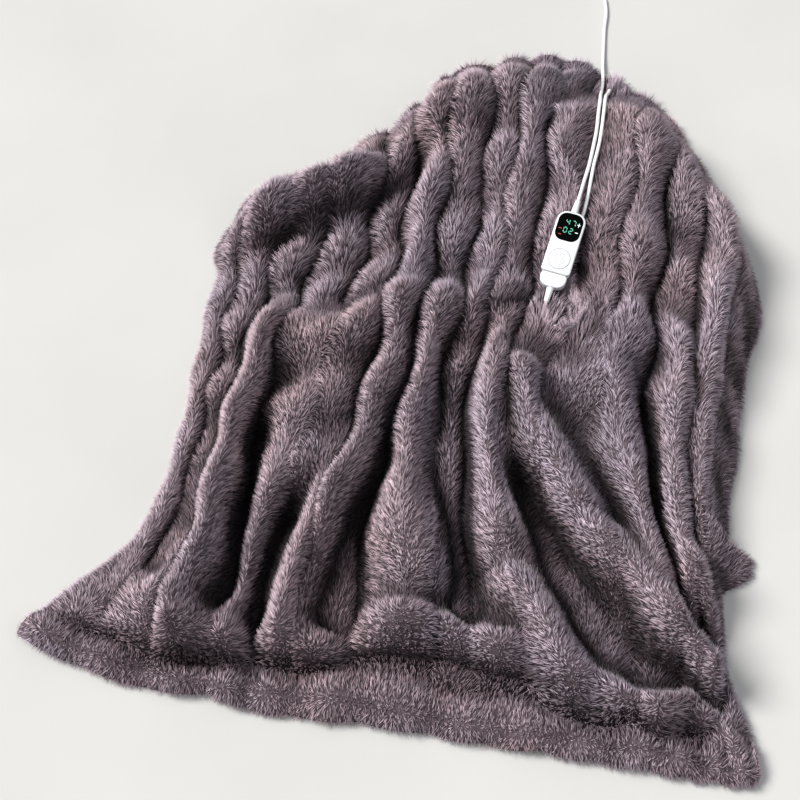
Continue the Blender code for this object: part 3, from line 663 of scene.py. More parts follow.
def valley_place(k, run):
    """Floor place of valley k at a run, with its wander from side to side."""
    rows = VALLEYS[k]
    calm = np.where(np.isin(k, CALM_VALLEYS), CALM_SHARE, calm_at(run))
    x = at_levels(rows[:, :6], run)
    x = x + calm * WAVE_REACH * np.sin(2 * math.pi * (WAVES_ALONG * run + PHASE_STEP * k))
    return x, rows[:, 6] + (rows[:, 7] - rows[:, 6]) * run


def flap_shift(rib, run):
    """How far a side edge's flaps carry a place outwards."""
    shift = np.zeros_like(rib)
    for side, middle, half_run, reach, ribs in EDGE_FLAPS:
        inward = rib if side == "left" else RIBS - rib
        sign = -1.0 if side == "left" else 1.0
        pull = np.maximum(0.0, 1.0 - inward / ribs)
        shift += sign * reach * pull * np.exp(-(((run - middle) / half_run) ** 4))
    return shift


def edge_nearness(run):
    """1 at the top edge or at the hem, and 0 further in than one scallop."""
    return smooth_step(1.0 - np.minimum(run, 1.0 - run) / SCALLOP_RUN)


def inner_share(rib, run):
    """0 along the rim, where the cloth lies on the floor, and 1 away from it."""
    side = smooth_step(np.minimum(rib, RIBS - rib) / EDGE_RIBS)
    return side * smooth_step(np.minimum(run, 1.0 - run) / EDGE_RUN)


def fold_height(rib, run):
    """How high the underside stands off the floor at a place on the cloth."""
    height = np.zeros_like(rib)
    for rib_0, run_0, rib_1, run_1, half_ribs, end_run, tall in FOLDS:
        across, down = rib_1 - rib_0, (run_1 - run_0) * RIBS
        t = ((rib - rib_0) * across + (run - run_0) * RIBS * down) / (across**2 + down**2)
        t = np.clip(t, 0.0, 1.0)
        off_ribs = (rib - rib_0 - t * across) / half_ribs
        off_run = (run - run_0 - t * (run_1 - run_0)) / end_run
        height += tall * np.exp(-(off_ribs**2) - off_run**2)
    return height * inner_share(rib, run)


def hem_crease(rib):
    """Run at which the crease above the hem's roll lies, wandering from rib to rib."""
    return HEM_CREASE + sum(size * np.sin(turn * rib + phase) for turn, phase, size in HEM_WANDER)


def hem_share(rib, run):
    """0 above the hem's crease and 1 on the hem's roll."""
    return smooth_step((run - hem_crease(rib) + HEM_FADE) / HEM_FADE)


def rib_shape(rib, run):
    """Rise across a rib, 0 in its valleys and 1 on its crest, and the size of its lump here."""
    k = np.minimum(rib.astype(int), RIBS - 1)
    across = rib - k
    hump = np.maximum(0.0, 1.0 - (2 * across - 1) ** 2) ** RIB_FULLNESS
    for valley, run_0, run_1, share in MERGES:
        off = np.maximum(0.0, np.maximum(run_0 - run, run - run_1)) / MERGE_END
        near = np.maximum(0.0, 1.0 - np.abs(rib - valley)) * np.exp(-(off**2))
        hump = hump + (1.0 - hump) * share * near
    wave = np.sin(2 * math.pi * (LUMPS_ALONG * run + LUMP_STEP * k))
    return hump, 1.0 + calm_at(run) * PLUSH_LUMP * wave


def bed_places():
    """Lowest places of both leads and the gland, which the cloth lies under."""
    leads = smooth_route(MAINS_ROUTE, BED_STEP) + smooth_route(BLANKET_ROUTE, BED_STEP)
    gland = gland_line([TOUCH + GLAND_LENGTH * j / GLAND_STEPS for j in range(GLAND_STEPS + 1)])
    places = [place - Vector((0.0, 0.0, LEAD_RADIUS + TOUCH)) for place in leads]
    return as_rows(places + [place - Vector((0.0, 0.0, GLAND_WIDE + TOUCH)) for place in gland])


BEDS = bed_places()


def ceiling(x, y):
    """Height that the controller and the leads leave for the cloth under a floor place."""
    turn = np.array(CONTROLLER.to_3x3())
    normal = turn[:, 2]
    place = np.array(CONTROLLER_PLACE)
    z = place[2] - (normal[0] * (x - place[0]) + normal[1] * (y - place[1])) / normal[2]
    local = (np.stack((x, y, z), -1) - place) @ turn
    out_x = np.maximum(0.0, np.abs(local[:, 0]) - CASE_WIDTH / 2 - BED_ACROSS)
    out_y = np.maximum(0.0, np.abs(local[:, 1]) - CASE_TOP_Y - RELIEF_LENGTH - BED_ALONG)
    high = z - TOUCH + BED_SLOPE * np.maximum(out_x, out_y)
    for block in in_box(x, y, BEDS_BOX)[1]:
        out_x = np.maximum(0.0, np.abs(x[block, None] - BEDS[:, 0]) - BED_ACROSS)
        out_y = np.maximum(0.0, np.abs(y[block, None] - BEDS[:, 1]) - BED_ALONG)
        lead = (BEDS[:, 2] + BED_SLOPE * np.maximum(out_x, out_y)).min(1)
        high[block] = np.minimum(high[block], lead)
    return high


def cloth(rib, run, share=1.0, pressed=True):
    """Upper places at a share of the pile's depth, underside heights and the ribs' rise.

    Pressed cloth keeps clear of the controller and the leads that lie on it.
    """
    rib, run = np.asarray(rib, float), np.asarray(run, float)
    k = np.minimum(rib.astype(int), RIBS - 1)
    across = rib - k
    x0, y0 = valley_place(k, run)
    x1, y1 = valley_place(k + 1, run)
    x = x0 + (x1 - x0) * across + flap_shift(rib, run)
    outward = np.where(run < 0.5, 1.0, -HEM_SCALLOP)
    y = y0 + (y1 - y0) * across
    y = y + outward * SCALLOP_REACH * np.sin(math.pi * across) * edge_nearness(run)
    hump, lump = rib_shape(rib, run)
    gathered = RIB_GATHER * (x1 - x0) * hump * lump * inner_share(rib, run)
    gathered *= 1.0 - (1.0 - HEM_GATHER) * hem_share(rib, run)
    under = np.maximum(0.0, fold_height(rib, run) + gathered - FLOOR_CUT)
    rim = np.minimum(np.minimum(rib, RIBS - rib) * 2.0, 1.0 - edge_nearness(run))
    thick = RIM_PLUSH + (1.0 - RIM_PLUSH) * smooth_step(rim)
    ribbed = thick * (PLUSH_IN_VALLEY + (PLUSH_ON_CREST - PLUSH_IN_VALLEY) * hump * lump)
    wide = 1.0 - hem_crease(rib)
    off = (run - 1.0 + 0.5 * wide) / (HEM_ROLL_HALF * wide)
    roll = np.maximum(HEM_ROLL_RIM, 1.0 - off**2) ** 0.5
    roll *= 1.0 + sum(size * np.sin(turn * rib + phase) for turn, phase, size in HEM_LUMPS)
    depth = ribbed + (HEM_ROLL * roll - ribbed) * hem_share(rib, run)
    fuzz = sum(noise(rib * a, run * b, seed) * size for a, b, seed, size in FUZZ)
    depth = depth * (1.0 + FUZZ_SIZE * fuzz)
    top = under + share * depth
    if pressed:
        top = np.minimum(top, ceiling(x, y) - CEILING_CLEAR)
    under = np.maximum(0.0, np.minimum(under, top - THIN_CLOTH))
    return np.stack((x, y, top), -1), under, hump


def covered_line():
    """Middles, ways and radii along the second lead's loop and gland, which the pile covers."""
    loop = as_rows(smooth_route(BLANKET_ROUTE[LOOP_POINTS], COVER_STEP))
    gland = as_rows(gland_line([COVER_STEP * j - GLAND_BACK for j in range(GLAND_MIDDLES)]))
    radii = (LEAD_RADIUS, LEAD_RADIUS), (GLAND_NARROW, GLAND_WIDE + 0.0005)
    return (
        np.concatenate((loop, gland)),
        np.concatenate([unit(np.gradient(line, axis=0)) for line in (loop, gland)]),
        np.concatenate([np.linspace(*r, len(line)) for r, line in zip(radii, (loop, gland))]),
    )


def mains_gap(places):
    """How far places are, on the floor plan, from the mains lead's seen route."""
    return plan_gap(places, as_rows(smooth_route(MAINS_ROUTE, BED_STEP))).min(1)


def pile_top(rib, run):
    """Places on the pile, pressed by the controller and leads but closed over the covered lead."""
    top, free = cloth(rib, run)[0], cloth(rib, run, 1.0, False)[0]
    line, _, radii = covered_line()
    for block in in_box(top[:, 0], top[:, 1], FILL_BOX)[1]:
        gap = plan_gap(top[block], line)
        closest = gap.argmin(1)
        gap = gap.min(1)
        over = line[closest, 2] + radii[closest] + COVER_OVER
        fill = over - COVER_SLOPE * np.maximum(0.0, gap - COVER_LEVEL)
        fill = np.minimum(over, np.maximum(fill, free[block, 2]))
        open_by = np.maximum(0.0, MAINS_OPEN - mains_gap(top[block]))
        fill = np.where(gap < COVER_REACH, fill - open_by, 0.0)
        top[block, 2] = np.maximum(top[block, 2], fill)
    return top


def cloth_grid(columns, rows):
    """Even (rib, run) places all over the cloth, a row at a time."""
    grid = np.meshgrid(np.linspace(0.0, RIBS, columns), np.linspace(0.0, 1.0, rows))
    return [a.ravel() for a in grid]


def height_maps():
    """Heights of the pile over floor cells, averaged close by and further round."""
    top = pile_top(*cloth_grid(MAP_PLACES, MAP_PLACES))
    cell = np.floor((top[:, :2] + MAP_HALF) / MAP_CELL).astype(int)
    heights = np.zeros((MAP_SIZE, MAP_SIZE))
    np.maximum.at(heights, (cell[:, 0], cell[:, 1]), top[:, 2])
    return [blurred(heights, round(reach / MAP_CELL)) for reach in (MAP_NEAR, MAP_WIDE)]


def blurred(heights, reach):
    """A square average of heights, taken twice."""
    span = 2 * reach + 1
    for _ in range(2):
        for axis in (0, 1):
            pads = [(reach + 1, reach) if a == axis else (0, 0) for a in (0, 1)]
            total = np.cumsum(np.pad(heights, pads, "edge"), axis)
            high = np.take(total, range(span, total.shape[axis]), axis)
            low = np.take(total, range(total.shape[axis] - span), axis)
            heights = (high - low) / span
    return heights


def relief(places, maps):
    """How open a place on the cloth is: 0 deep in a crease and 1 on a ridge, which sets the painted
    shade in creases and the painted light on ridges.
    """
    cell = np.clip(((places[:, :2] + MAP_HALF) / MAP_CELL).astype(int), 0, MAP_SIZE - 1)
    near, wide = (places[:, 2] - m[cell[:, 0], cell[:, 1]] for m in maps)
    return np.clip(PAINTED_SHADE_LEVEL + near * PAINTED_SHADE_NEAR + wide * PAINTED_SHADE_WIDE, 0.0, 1.0)


def sheet_mesh():
    """The cloth itself under its pile: a closed sheet in its folds."""
    wide = SHEET_COLUMNS + 1
    rib, run = cloth_grid(wide, SHEET_ROWS + 1)
    upper, under, _ = cloth(rib, run, BACKING_SHARE)
    tops = cloth(rib, run)[0]
    lower = upper.copy()
    lower[:, 2] = under
    count = len(rib)
    cell = (np.arange(SHEET_ROWS)[:, None] * wide + np.arange(SHEET_COLUMNS)).ravel()
    faces = [np.stack((cell, cell + wide, cell + wide + 1, cell + 1), -1)]
    faces.append(faces[0][:, ::-1] + count)
    top_row, left = np.arange(SHEET_COLUMNS), np.arange(SHEET_ROWS) * wide
    low_row, right = top_row + SHEET_ROWS * wide, left + SHEET_COLUMNS
    ends = (top_row, top_row + 1), (low_row + 1, low_row)
    for a, b in ends + ((left + wide, left), (right, right + wide)):
        faces.append(np.stack((a, b, b + count, a + count), -1))
    return np.concatenate((upper, lower)), np.concatenate(faces), tops


def mesh_object(name, verts, faces):
    """A smooth mesh from arrays, every face with the same number of sides."""
    count, sides = faces.shape
    mesh = bpy.data.meshes.new(name)
    mesh.vertices.add(len(verts))
    mesh.vertices.foreach_set("co", np.ascontiguousarray(verts, np.float32).ravel())
    mesh.loops.add(count * sides)
    mesh.loops.foreach_set("vertex_index", np.ascontiguousarray(faces, np.int32).ravel())
    mesh.polygons.add(count)
    mesh.polygons.foreach_set("loop_start", np.arange(count, dtype=np.int32) * sides)
    mesh.polygons.foreach_set("use_smooth", np.full(count, True))
    mesh.update(calc_edges=True)
    return add_object(name, mesh)


def point_values(obj, name, values):
    """A value or a vector for each point of a mesh, for its material to read."""
    values = np.asarray(values, np.float32)
    kind, key = ("FLOAT", "value") if values.ndim == 1 else ("FLOAT_VECTOR", "vector")
    obj.data.attributes.new(name, kind, "POINT").data.foreach_set(key, values.ravel())


# ---------------------------------------------------------------- pile
def surface(rib, run):
    """Place, ribs' rise, outward normal, way up the cloth and way across it, under the pile."""
    here, _, hump = cloth(rib, run, BACKING_SHARE)
    rib_way = np.where(rib > RIBS - 1, -1.0, 1.0)
    run_way = np.where(run > 0.9, -1.0, 1.0)
    beside = cloth(rib + rib_way * SLOPE_STEP * 8, run, BACKING_SHARE)[0]
    below = cloth(rib, run + run_way * SLOPE_STEP, BACKING_SHARE)[0]
    right = unit((beside - here) * rib_way[:, None])
    normal = unit(np.cross(right, (here - below) * run_way[:, None]))
    return here, hump, normal, np.cross(normal, right), right


def strand_places(count, seed):
    """Even random (rib, run) places over the cloth's true surface."""
    rng = np.random.default_rng(seed)
    columns, rows = AREA_COLUMNS, AREA_ROWS
    grid = cloth(*cloth_grid(columns + 1, rows + 1))[0].reshape(rows + 1, columns + 1, 3)
    across, down = grid[:-1, 1:] - grid[:-1, :-1], grid[1:, :-1] - grid[:-1, :-1]
    area = np.linalg.norm(np.cross(across, down), axis=-1).ravel()
    row, column = np.divmod(rng.choice(len(area), count, p=area / area.sum()), columns)
    rib = (column + rng.random(count)) / float(columns) * RIBS
    return rib, (row + rng.random(count)) / float(rows)


def strand_rays(rib, run, seed):
    """Where strands stand at places on the cloth, and the ways and lengths that they grow."""
    rng = np.random.default_rng(seed)
    count = len(rib)
    here, hump, normal, up, right = surface(rib, run)
    hem = hem_share(rib, run)
    k = np.minimum(rib.astype(int), RIBS - 1)
    aside = 2 * (rib - k) - 1
    turn = AWAY_TURN * aside * (1.0 - AWAY_LESS_AT_HEM * hem)
    turn += SWIRL_TURN * grain(here, "swirl")
    turn += COMB_TURN * grain(here, "comb")
    turn += STRAY_TURN * rng.normal(size=count)
    left_edge, right_edge = (smooth_step(1.0 - a / EDGE_TURN_RIBS) for a in (rib, RIBS - rib))
    turn += np.sign(aside) * EDGE_TURN * np.maximum(left_edge, right_edge)
    parting = PARTING_RUN + PARTING_WANDER * grain(here, "parting")
    rim = smooth_step((run - parting) / PARTING_FADE)
    lift = LIFT + LIFT_UNEVEN * grain(here, "lift")
    lower = smooth_step((run - LOWER_RUN) / LOWER_FADE)
    from_loop = np.linalg.norm(here[:, :2] - LOOP_MIDDLE, axis=1)
    lower *= smooth_step((from_loop - LOOP_REACH) / LOOP_FADE)
    lift = lift + LIFT_STRAY * rng.normal(size=count) + HEM_LIFT * hem + LOWER_LIFT * lower
    way = unit(
        up * (np.cos(turn) * (1.0 - 2.0 * rim))[:, None]
        + right * np.sin(turn)[:, None]
        + normal * np.clip(lift, *LIFT_RANGE)[:, None]
    )
    patch = 1.0 + LENGTH_UNEVEN * grain(here, "length")
    length = (STRAND_SHORT + STRAND_LONG * hump) * patch * rng.uniform(*LENGTH_RANGE, count)
    length *= (1.0 - HEM_SHORTER * hem) * (1.0 - LOWER_SHORTER * lower)
    return here, normal, way * length[:, None]


def tuft_tips(rib, run, here, tips):
    """Draws each strand's tip towards its tuft's, and gives each tuft a value of its own."""
    u, v = rib * RIB_SPAN / TUFT, run * RUN_SPAN / TUFT
    best, own = np.full(len(rib), 1e9), np.zeros((len(rib), 2))
    for i in (-1, 0, 1):
        for j in (-1, 0, 1):
            cu, cv = np.floor(u) + i, np.floor(v) + j
            su = cu + 0.5 + TUFT_JITTER * hashed(cu, cv, 1)
            sv = cv + 0.5 + TUFT_JITTER * hashed(cu, cv, 2)
            far = (u - su) ** 2 + (v - sv) ** 2
            closer = far < best
            best[closer] = far[closer]
            own[closer, 0], own[closer, 1] = su[closer], sv[closer]
    tuft_rib = np.clip(own[:, 0] * TUFT / RIB_SPAN, 0.0, RIBS)
    tuft_run = np.clip(own[:, 1] * TUFT / RUN_SPAN, 0.0, 1.0)
    root = cloth(tuft_rib, tuft_run, BACKING_SHARE)[0]
    drawn = tips + (root - here) * TUFT_PULL
    return drawn, hashed(own[:, 0] * 7.0, own[:, 1] * 3.0, 3)


def rim_rays(count, seed):
    """Strands that stand out all round the cloth's edge."""
    rng = np.random.default_rng(seed)
    side = rng.integers(0, 4, count)
    t = rng.random(count)
    top, hem, left, right = (side == i for i in range(4))
    rib = np.select((top, hem, left), (t * RIBS, t * RIBS, np.zeros(count)), float(RIBS))
    run = np.select((top, hem), (np.zeros(count), np.ones(count)), t)
    upper, under, _ = cloth(rib, run, BACKING_SHARE)
    inward_rib = RIM_INWARD_RIB * (left * 1.0 - right * 1.0)
    inward_run = RIM_INWARD_RUN * (top * 1.0 - hem * 1.0)
    way = upper - cloth(rib + inward_rib, run + inward_run, BACKING_SHARE)[0]
    way[:, 2] = 0.0
    way = unit(way)
    here = upper.copy()
    here[:, 2] = under + (upper[:, 2] - under) * rng.uniform(0.1, 1.0, count)
    here -= way * RIM_ROOT
    normal = unit(way + np.array((0.0, 0.0, RIM_NORMAL_UP)))
    stray = rng.normal(scale=RIM_STRAY, size=(count, 3))
    way = unit(way + stray + np.array((0.0, 0.0, RIM_UP)))
    return rib, here, normal, way * rng.uniform(*RIM_RANGE, count)[:, None]


def in_case(points):
    """True where a place is inside the controller or its reliefs."""
    x, y, z = ((points - np.array(CONTROLLER_PLACE)) @ np.array(CONTROLLER.to_3x3())).T
    low_y, high_y = CASE_ENDS
    low_z, high_z = CASE_HEIGHTS
    case = (np.abs(x) < CASE_WIDTH / 2 + CASE_CLEAR) & (y > low_y) & (y < high_y)
    case &= (z > low_z) & (z < high_z)
    relief = (np.abs(x) < RELIEF_HALF) & (np.abs(y) < RELIEF_ENDS)
    return case | relief & (np.abs(z - RELIEF_Z) < RELIEF_HALF)


def near_lead(points, middles):
    """True where a place is inside a lead or almost touches it."""
    hit = np.zeros(len(points), bool)
    for block in in_box(points[:, 0], points[:, 1], LEADS_BOX)[1]:
        far = np.linalg.norm(points[block, None, :] - middles, axis=-1).min(1)
        hit[block] = far < LEAD_RADIUS + STRAND_CLEAR
    return hit


def lean_over(here, tips, sunk, middles):
    """Raises strands beside the covered lead to the unpressed pile, and clear of the lead."""
    line, _, radii = covered_line()
    near = in_box(here[:, 0], here[:, 1], LEAN_BOX)[0]
    gap = plan_gap(here[near], line)
    beside = (gap.min(1) < COVER_REACH) & (mains_gap(here[near]) > MAINS_OPEN / 2)
    near, closest = near[beside], gap.argmin(1)[beside]
    tips[near, 2] += sunk[near]
    tips[near, :2] += (line[closest, :2] - here[near, :2]) * COVER_LEAN
    for _ in range(LIFT_TRIES):
        hit = np.zeros(len(near), bool)
        for share in LEAN_SHARES:
            place = here[near] + (tips[near] - here[near]) * share
            hit |= near_lead(place, middles)
            far = np.linalg.norm(place[:, None, :] - line, axis=-1)
            hit |= (far < radii + STRAND_CLEAR).any(1)
        tips[near[hit], 2] += COVER_LIFT


def cover_rays(here, rays, tuft, rise, seed):
    """Strands that lie over the covered lead and its gland, each like the strand nearest to it."""
    rng = np.random.default_rng(seed)
    count = COVER_STRANDS
    middles, ways, radii = covered_line()
    pick = rng.integers(0, len(middles), count)
    middle, way, radius = middles[pick], ways[pick], radii[pick]
    across = unit(np.stack((-way[:, 1], way[:, 0], np.zeros(count)), -1))
    across *= np.where(across[:, 1] > 0.0, -1.0, 1.0)[:, None]
    side = rng.uniform(-COVER_HALF, np.where(across[:, 1] < -0.25, COVER_BESIDE, COVER_HALF))
    beside = side > COVER_HALF
    side[beside] = np.maximum(side[beside], COVER_OUTSIDE)
    roots = middle + across * (side * radius)[:, None]
    roots += way * rng.uniform(-0.001, 0.001, count)[:, None]
    height = radius * np.sqrt(np.maximum(0.0, 1.0 - side**2))
    roots[:, 2] += np.where(beside, 0.0, height) - COVER_SINK
    near = in_box(here[:, 0], here[:, 1], FILL_BOX)[0]
    own = np.empty(count, int)
    for block in np.array_split(np.arange(count), 20):
        own[block] = near[plan_gap(roots[block], here[near]).argmin(1)]
    ray = rays[own] * rng.uniform(*COVER_RANGE, count)[:, None]
    flat = np.linalg.norm(ray[:, :2], axis=1)
    ray[:, 2] = np.clip(ray[:, 2], COVER_LOW * flat, COVER_HIGH * flat)
    ray[beside, 2] = flat[beside] * COVER_CLIMB / np.sqrt(side[beside] ** 2 - 1.0)
    mains = as_rows(smooth_route(MAINS_ROUTE, BED_STEP))
    kept = np.ones(count, bool)
    for share in COVER_SHARES:
        place = roots + ray * share
        kept &= ~in_case(place) & ~near_lead(place, mains)
    normal = unit(np.tile((0.0, 0.0, 1.0), (count, 1)) + across * (0.3 * side)[:, None])
    return [a[kept] for a in (roots, roots + ray, normal, tuft[own], rise[own])]


def grow_pile(material, maps):
    """All the pile, as a few pieces that lie side by side across the cloth."""
    rib, run = strand_places(STRANDS, 101)
    here, normal, ray = strand_rays(rib, run, 102)
    top = pile_top(rib, run)
    sunk = top[:, 2] - cloth(rib, run)[0][:, 2]
    # Painted shade in creases and painted light on ridges, held back near the hem.
    rise = relief(top, maps)
    rise = np.maximum(rise, HEM_SHADE_LIMIT * smooth_step((run - HEM_SHADE_LIMIT_RUN) / HEM_SHADE_LIMIT_FADE))
    tips, tuft = tuft_tips(rib, run, here, here + ray)
    rim_rib, rim_here, rim_normal, rim_ray = rim_rays(RIM_STRANDS, 103)
    level = np.ones(RIM_STRANDS)
    # Rim strands take no tuft tint and a fixed level of painted light.
    rim = (rim_rib, rim_here, rim_here + rim_ray, rim_normal, 0.0 * level, RIM_PAINTED_LIGHT * level)
    pairs = zip((rib, here, tips, normal, tuft, rise), rim)
    rib, here, tips, normal, tuft, rise = (np.concatenate(pair) for pair in pairs)
    sunk = np.concatenate((sunk, 0.0 * level))
    tips[:, 2] = np.maximum(tips[:, 2], TIP_LOWEST)
    middles = BEDS + np.array((0.0, 0.0, LEAD_RADIUS + TOUCH))
    cover = cover_rays(here, tips - here, tuft, rise, 105)
    lean_over(here, tips, sunk, middles)
    kept = np.ones(len(tips), bool)
    for share in CASE_SHARES:
        kept &= ~in_case(here + (tips - here) * share)
    for share in LEAD_SHARES:
        kept &= ~near_lead(here + (tips - here) * share, middles)
    rib = np.concatenate((rib[kept], np.full(len(cover[0]), COVER_RIB)))
    grown = [np.concatenate((a[kept], b)) for a, b in zip((here, tips, normal, tuft, rise), cover)]
    order = np.argsort(rib, kind="stable")
    rng = np.random.default_rng(104)
    for number, part in enumerate(np.array_split(order, STRAND_PIECES)):
        strand_piece(f"pile_{number + 1}", *(a[part] for a in grown), rng, material)


def strand_piece(name, roots, tips, normals, tuft, rise, rng, material):
    """Strands as one mesh of slim closed spikes, with their roots in the sheet."""
    count = len(roots)
    way = unit(tips - roots)
    side = unit(np.cross(way, rng.normal(size=(count, 3))))
    other = np.cross(way, side)
    width = STRAND_WIDTH * rng.uniform(*WIDTH_RANGE, count)[:, None]
    sunk = roots - way * ROOT_SINK
    verts = np.empty((count, 4, 3))
    for corner in range(3):
        angle = 2 * math.pi * corner / 3
        verts[:, corner] = sunk + width * (side * math.cos(angle) + other * math.sin(angle))
    verts[:, 3] = tips
    verts[:, :, 2] = np.maximum(verts[:, :, 2], STRAND_LOWEST)
    first = np.arange(count)[:, None] * 4
    sides = [first + np.array(f) for f in ((0, 1, 3), (1, 2, 3), (2, 0, 3), (0, 2, 1))]
    obj = mesh_object(name, verts.reshape(-1, 3), np.stack(sides, 1).reshape(-1, 3))
    shade = 0.5 + TUFT_TINT * tuft + rng.normal(scale=STRAND_TINT, size=count)
    point_values(obj, "along", np.tile((0.0, 0.0, 0.0, 1.0), count))
    point_values(obj, "tint", np.repeat(np.clip(shade, 0.0, 1.0), 4))
    # How much painted shade or painted light each strand's colour takes.
    point_values(obj, "rise", np.repeat(np.clip(rise, 0.0, 1.0), 4))
    point_values(obj, "lie", np.repeat(normals, 4, axis=0))
    cells = math.ceil(math.sqrt(count))
    corner_uv = np.array((
        (0.05, 0.1), (0.3, 0.1), (0.2, 0.95),
        (0.35, 0.1), (0.6, 0.1), (0.5, 0.95),
        (0.65, 0.1), (0.9, 0.1), (0.8, 0.95),
        (0.1, 0.02), (0.9, 0.02), (0.5, 0.08),
    ))
    place = np.stack((np.arange(count) % cells, np.arange(count) // cells), -1)
    uvs = (place[:, None, :] + corner_uv[None]) / cells
    layer = obj.data.uv_layers.new(name="OFBake")
    layer.data.foreach_set("uv", uvs.astype(np.float32).ravel())
    dress(obj, material, "blanket")


# ---------------------------------------------------------------- materials
class Look:
    """A material's nodes. Their inputs take plain values or other nodes' sockets."""

    def __init__(self, name):
        self.material = bpy.data.materials.new(name)
        self.material.use_nodes = True
        self.tree = self.material.node_tree

    def feed(self, node, **inputs):
        for key, value in inputs.items():
            socket = node.inputs[key.replace("_", " ")]
            if isinstance(value, bpy.types.NodeSocket):
                self.tree.links.new(value, socket)
            else:
                socket.default_value = value

    def node(self, kind, output, **inputs):
        made = self.tree.nodes.new("ShaderNode" + kind)
        self.feed(made, **inputs)
        return made.outputs[output]

    def noise(self, scale, detail, rough=0.5, stretch=None):
        place = self.node("TexCoord", "Object")
        if stretch:
            place = self.node("Mapping", "Vector", Vector=place, Scale=stretch)
        inputs = {"Vector": place, "Scale": scale, "Detail": detail, "Roughness": rough}
        return self.node("TexNoise", "Fac", **inputs)

    def attribute(self, name, output="Fac"):
        made = self.tree.nodes.new("ShaderNodeAttribute")
        made.attribute_name = name
        return made.outputs[output]

    def ramp(self, factor, *stops):
        made = self.tree.nodes.new("ShaderNodeValToRGB")
        elements = made.color_ramp.elements
        while len(elements) < len(stops):
            elements.new(0.5)
        for element, (position, color) in zip(elements, stops):
            element.position = position
            element.color = (*color, 1.0)
        self.feed(made, Fac=factor)
        return made.outputs["Color"]

    def mix(self, kind, blend, share, a, b, socket, result):
        """A mix node. Its colours and vectors have sockets of their own, told by their number."""
        made = self.tree.nodes.new("ShaderNodeMix")
        made.data_type = kind
        made.blend_type = blend
        made.inputs[0].default_value = share
        self.tree.links.new(a, made.inputs[socket])
        self.tree.links.new(b, made.inputs[socket + 1])
        return made.outputs[result]

    def times(self, a, b):
        """The product of two colours."""
        return self.mix("RGBA", "MULTIPLY", 1.0, a, b, 6, 2)

    def done(self, color, rough, **inputs):
        """Feeds the shader and gives the finished material."""
        shader = self.tree.nodes["Principled BSDF"]
        self.feed(shader, Base_Color=color, Roughness=rough, **inputs)
        return self.material


def pile_material():
    """Silky strands: dark at the root, pale at the tip, each with its own tint, with painted shade
    in creases and painted light on ridges.
    """
    look = Look("pile")
    shade = look.ramp(look.attribute("tint"), *PILE_TINT)
    color = look.times(look.ramp(look.attribute("along"), *PILE_ALONG), shade)
    color = look.times(color, look.ramp(look.noise(5.0, 3.0), *PILE_WARMTH))
    # Painted shade in creases and painted light on ridges.
    color = look.times(color, look.ramp(look.attribute("rise"), *PILE_PAINTED_SHADE))
    normal = look.node("NewGeometry", "Normal")
    blend = look.mix("VECTOR", "MIX", 0.45, look.attribute("lie", "Vector"), normal, 4, 1)
    unit_way = look.tree.nodes.new("ShaderNodeVectorMath")
    unit_way.operation = "NORMALIZE"
    look.tree.links.new(blend, unit_way.inputs[0])
    return look.done(
        color,
        0.55,
        Normal=unit_way.outputs["Vector"],
        Specular_IOR_Level=0.35,
        Sheen_Weight=0.25,
        Sheen_Roughness=0.4,
        Sheen_Tint=(0.85, 0.78, 0.84, 1.0),
    )


def backing_material():
    """The sheet under the pile: short dark underwool, with painted shade in creases and painted
    light on ridges.
    """
    look = Look("backing")
    wool = look.noise(420.0, 4.0, 0.7, (1.0, 0.28, 1.0))
    # Painted shade in creases and painted light on ridges.
    deep = look.ramp(look.attribute("rise"), *BACKING_PAINTED_SHADE)
    color = look.times(look.ramp(wool, *BACKING_WOOL), deep)
    bump = look.node("Bump", "Normal", Strength=0.9, Distance=0.003, Height=wool)
    return look.done(color, 0.9, Specular_IOR_Level=0.2, Normal=bump)


def moulded_material(name, color, rough, peel, coat=0.0, specular=0.5):
    """Moulded plastic: a faint orange-peel bump and slight unevenness in shine."""
    look = Look(name)
    bump = look.node("Bump", "Normal", Strength=0.06, Distance=0.0004, Height=look.noise(peel, 3.0))
    smear = look.noise(60.0, 4.0)
    low, high = tuple(c * 0.975 for c in color), tuple(min(1.0, c * 1.015) for c in color)
    shine = {"From_Min": 0.3, "From_Max": 0.7, "To_Min": rough * 0.9, "To_Max": rough * 1.15}
    return look.done(
        look.ramp(smear, (0.3, low), (0.7, high)),
        look.node("MapRange", "Result", Value=smear, **shine),
        Normal=bump,
        Coat_Weight=coat,
        Coat_Roughness=0.1,
        Specular_IOR_Level=specular,
    )


def metal_material():
    look = Look("plated_blade")
    brushed = look.noise(2400.0, 3.0, stretch=(0.05, 1.0, 1.0))
    shine = look.node("MapRange", "Result", Value=brushed, To_Min=0.18, To_Max=0.38)
    tone = look.ramp(brushed, (0.3, (0.66, 0.66, 0.67)), (0.7, (0.80, 0.80, 0.81)))
    return look.done(tone, shine, Metallic=1.0)


def floor_material():
    look = Look("studio_floor")
    tone = look.ramp(look.noise(3.0, 5.0), (0.3, (0.44, 0.435, 0.42)), (0.7, (0.47, 0.465, 0.45)))
    return look.done(tone, 0.7)


def printed_material(name, color, glow):
    """Printed or lit marks, a little uneven in strength."""
    look = Look(name)
    tone = look.ramp(look.noise(700.0, 2.0), (0.3, tuple(c * 0.85 for c in color)), (0.7, color))
    return look.done(tone, 0.4, Emission_Color=(*color, 1.0), Emission_Strength=glow)


# ---------------------------------------------------------------- marks on the controller
def bar(x, y, wide, high):
    sides = ((-1, -1), (1, -1), (1, 1), (-1, 1))
    return [(x + a * wide / 2, y + b * high / 2) for a, b in sides]


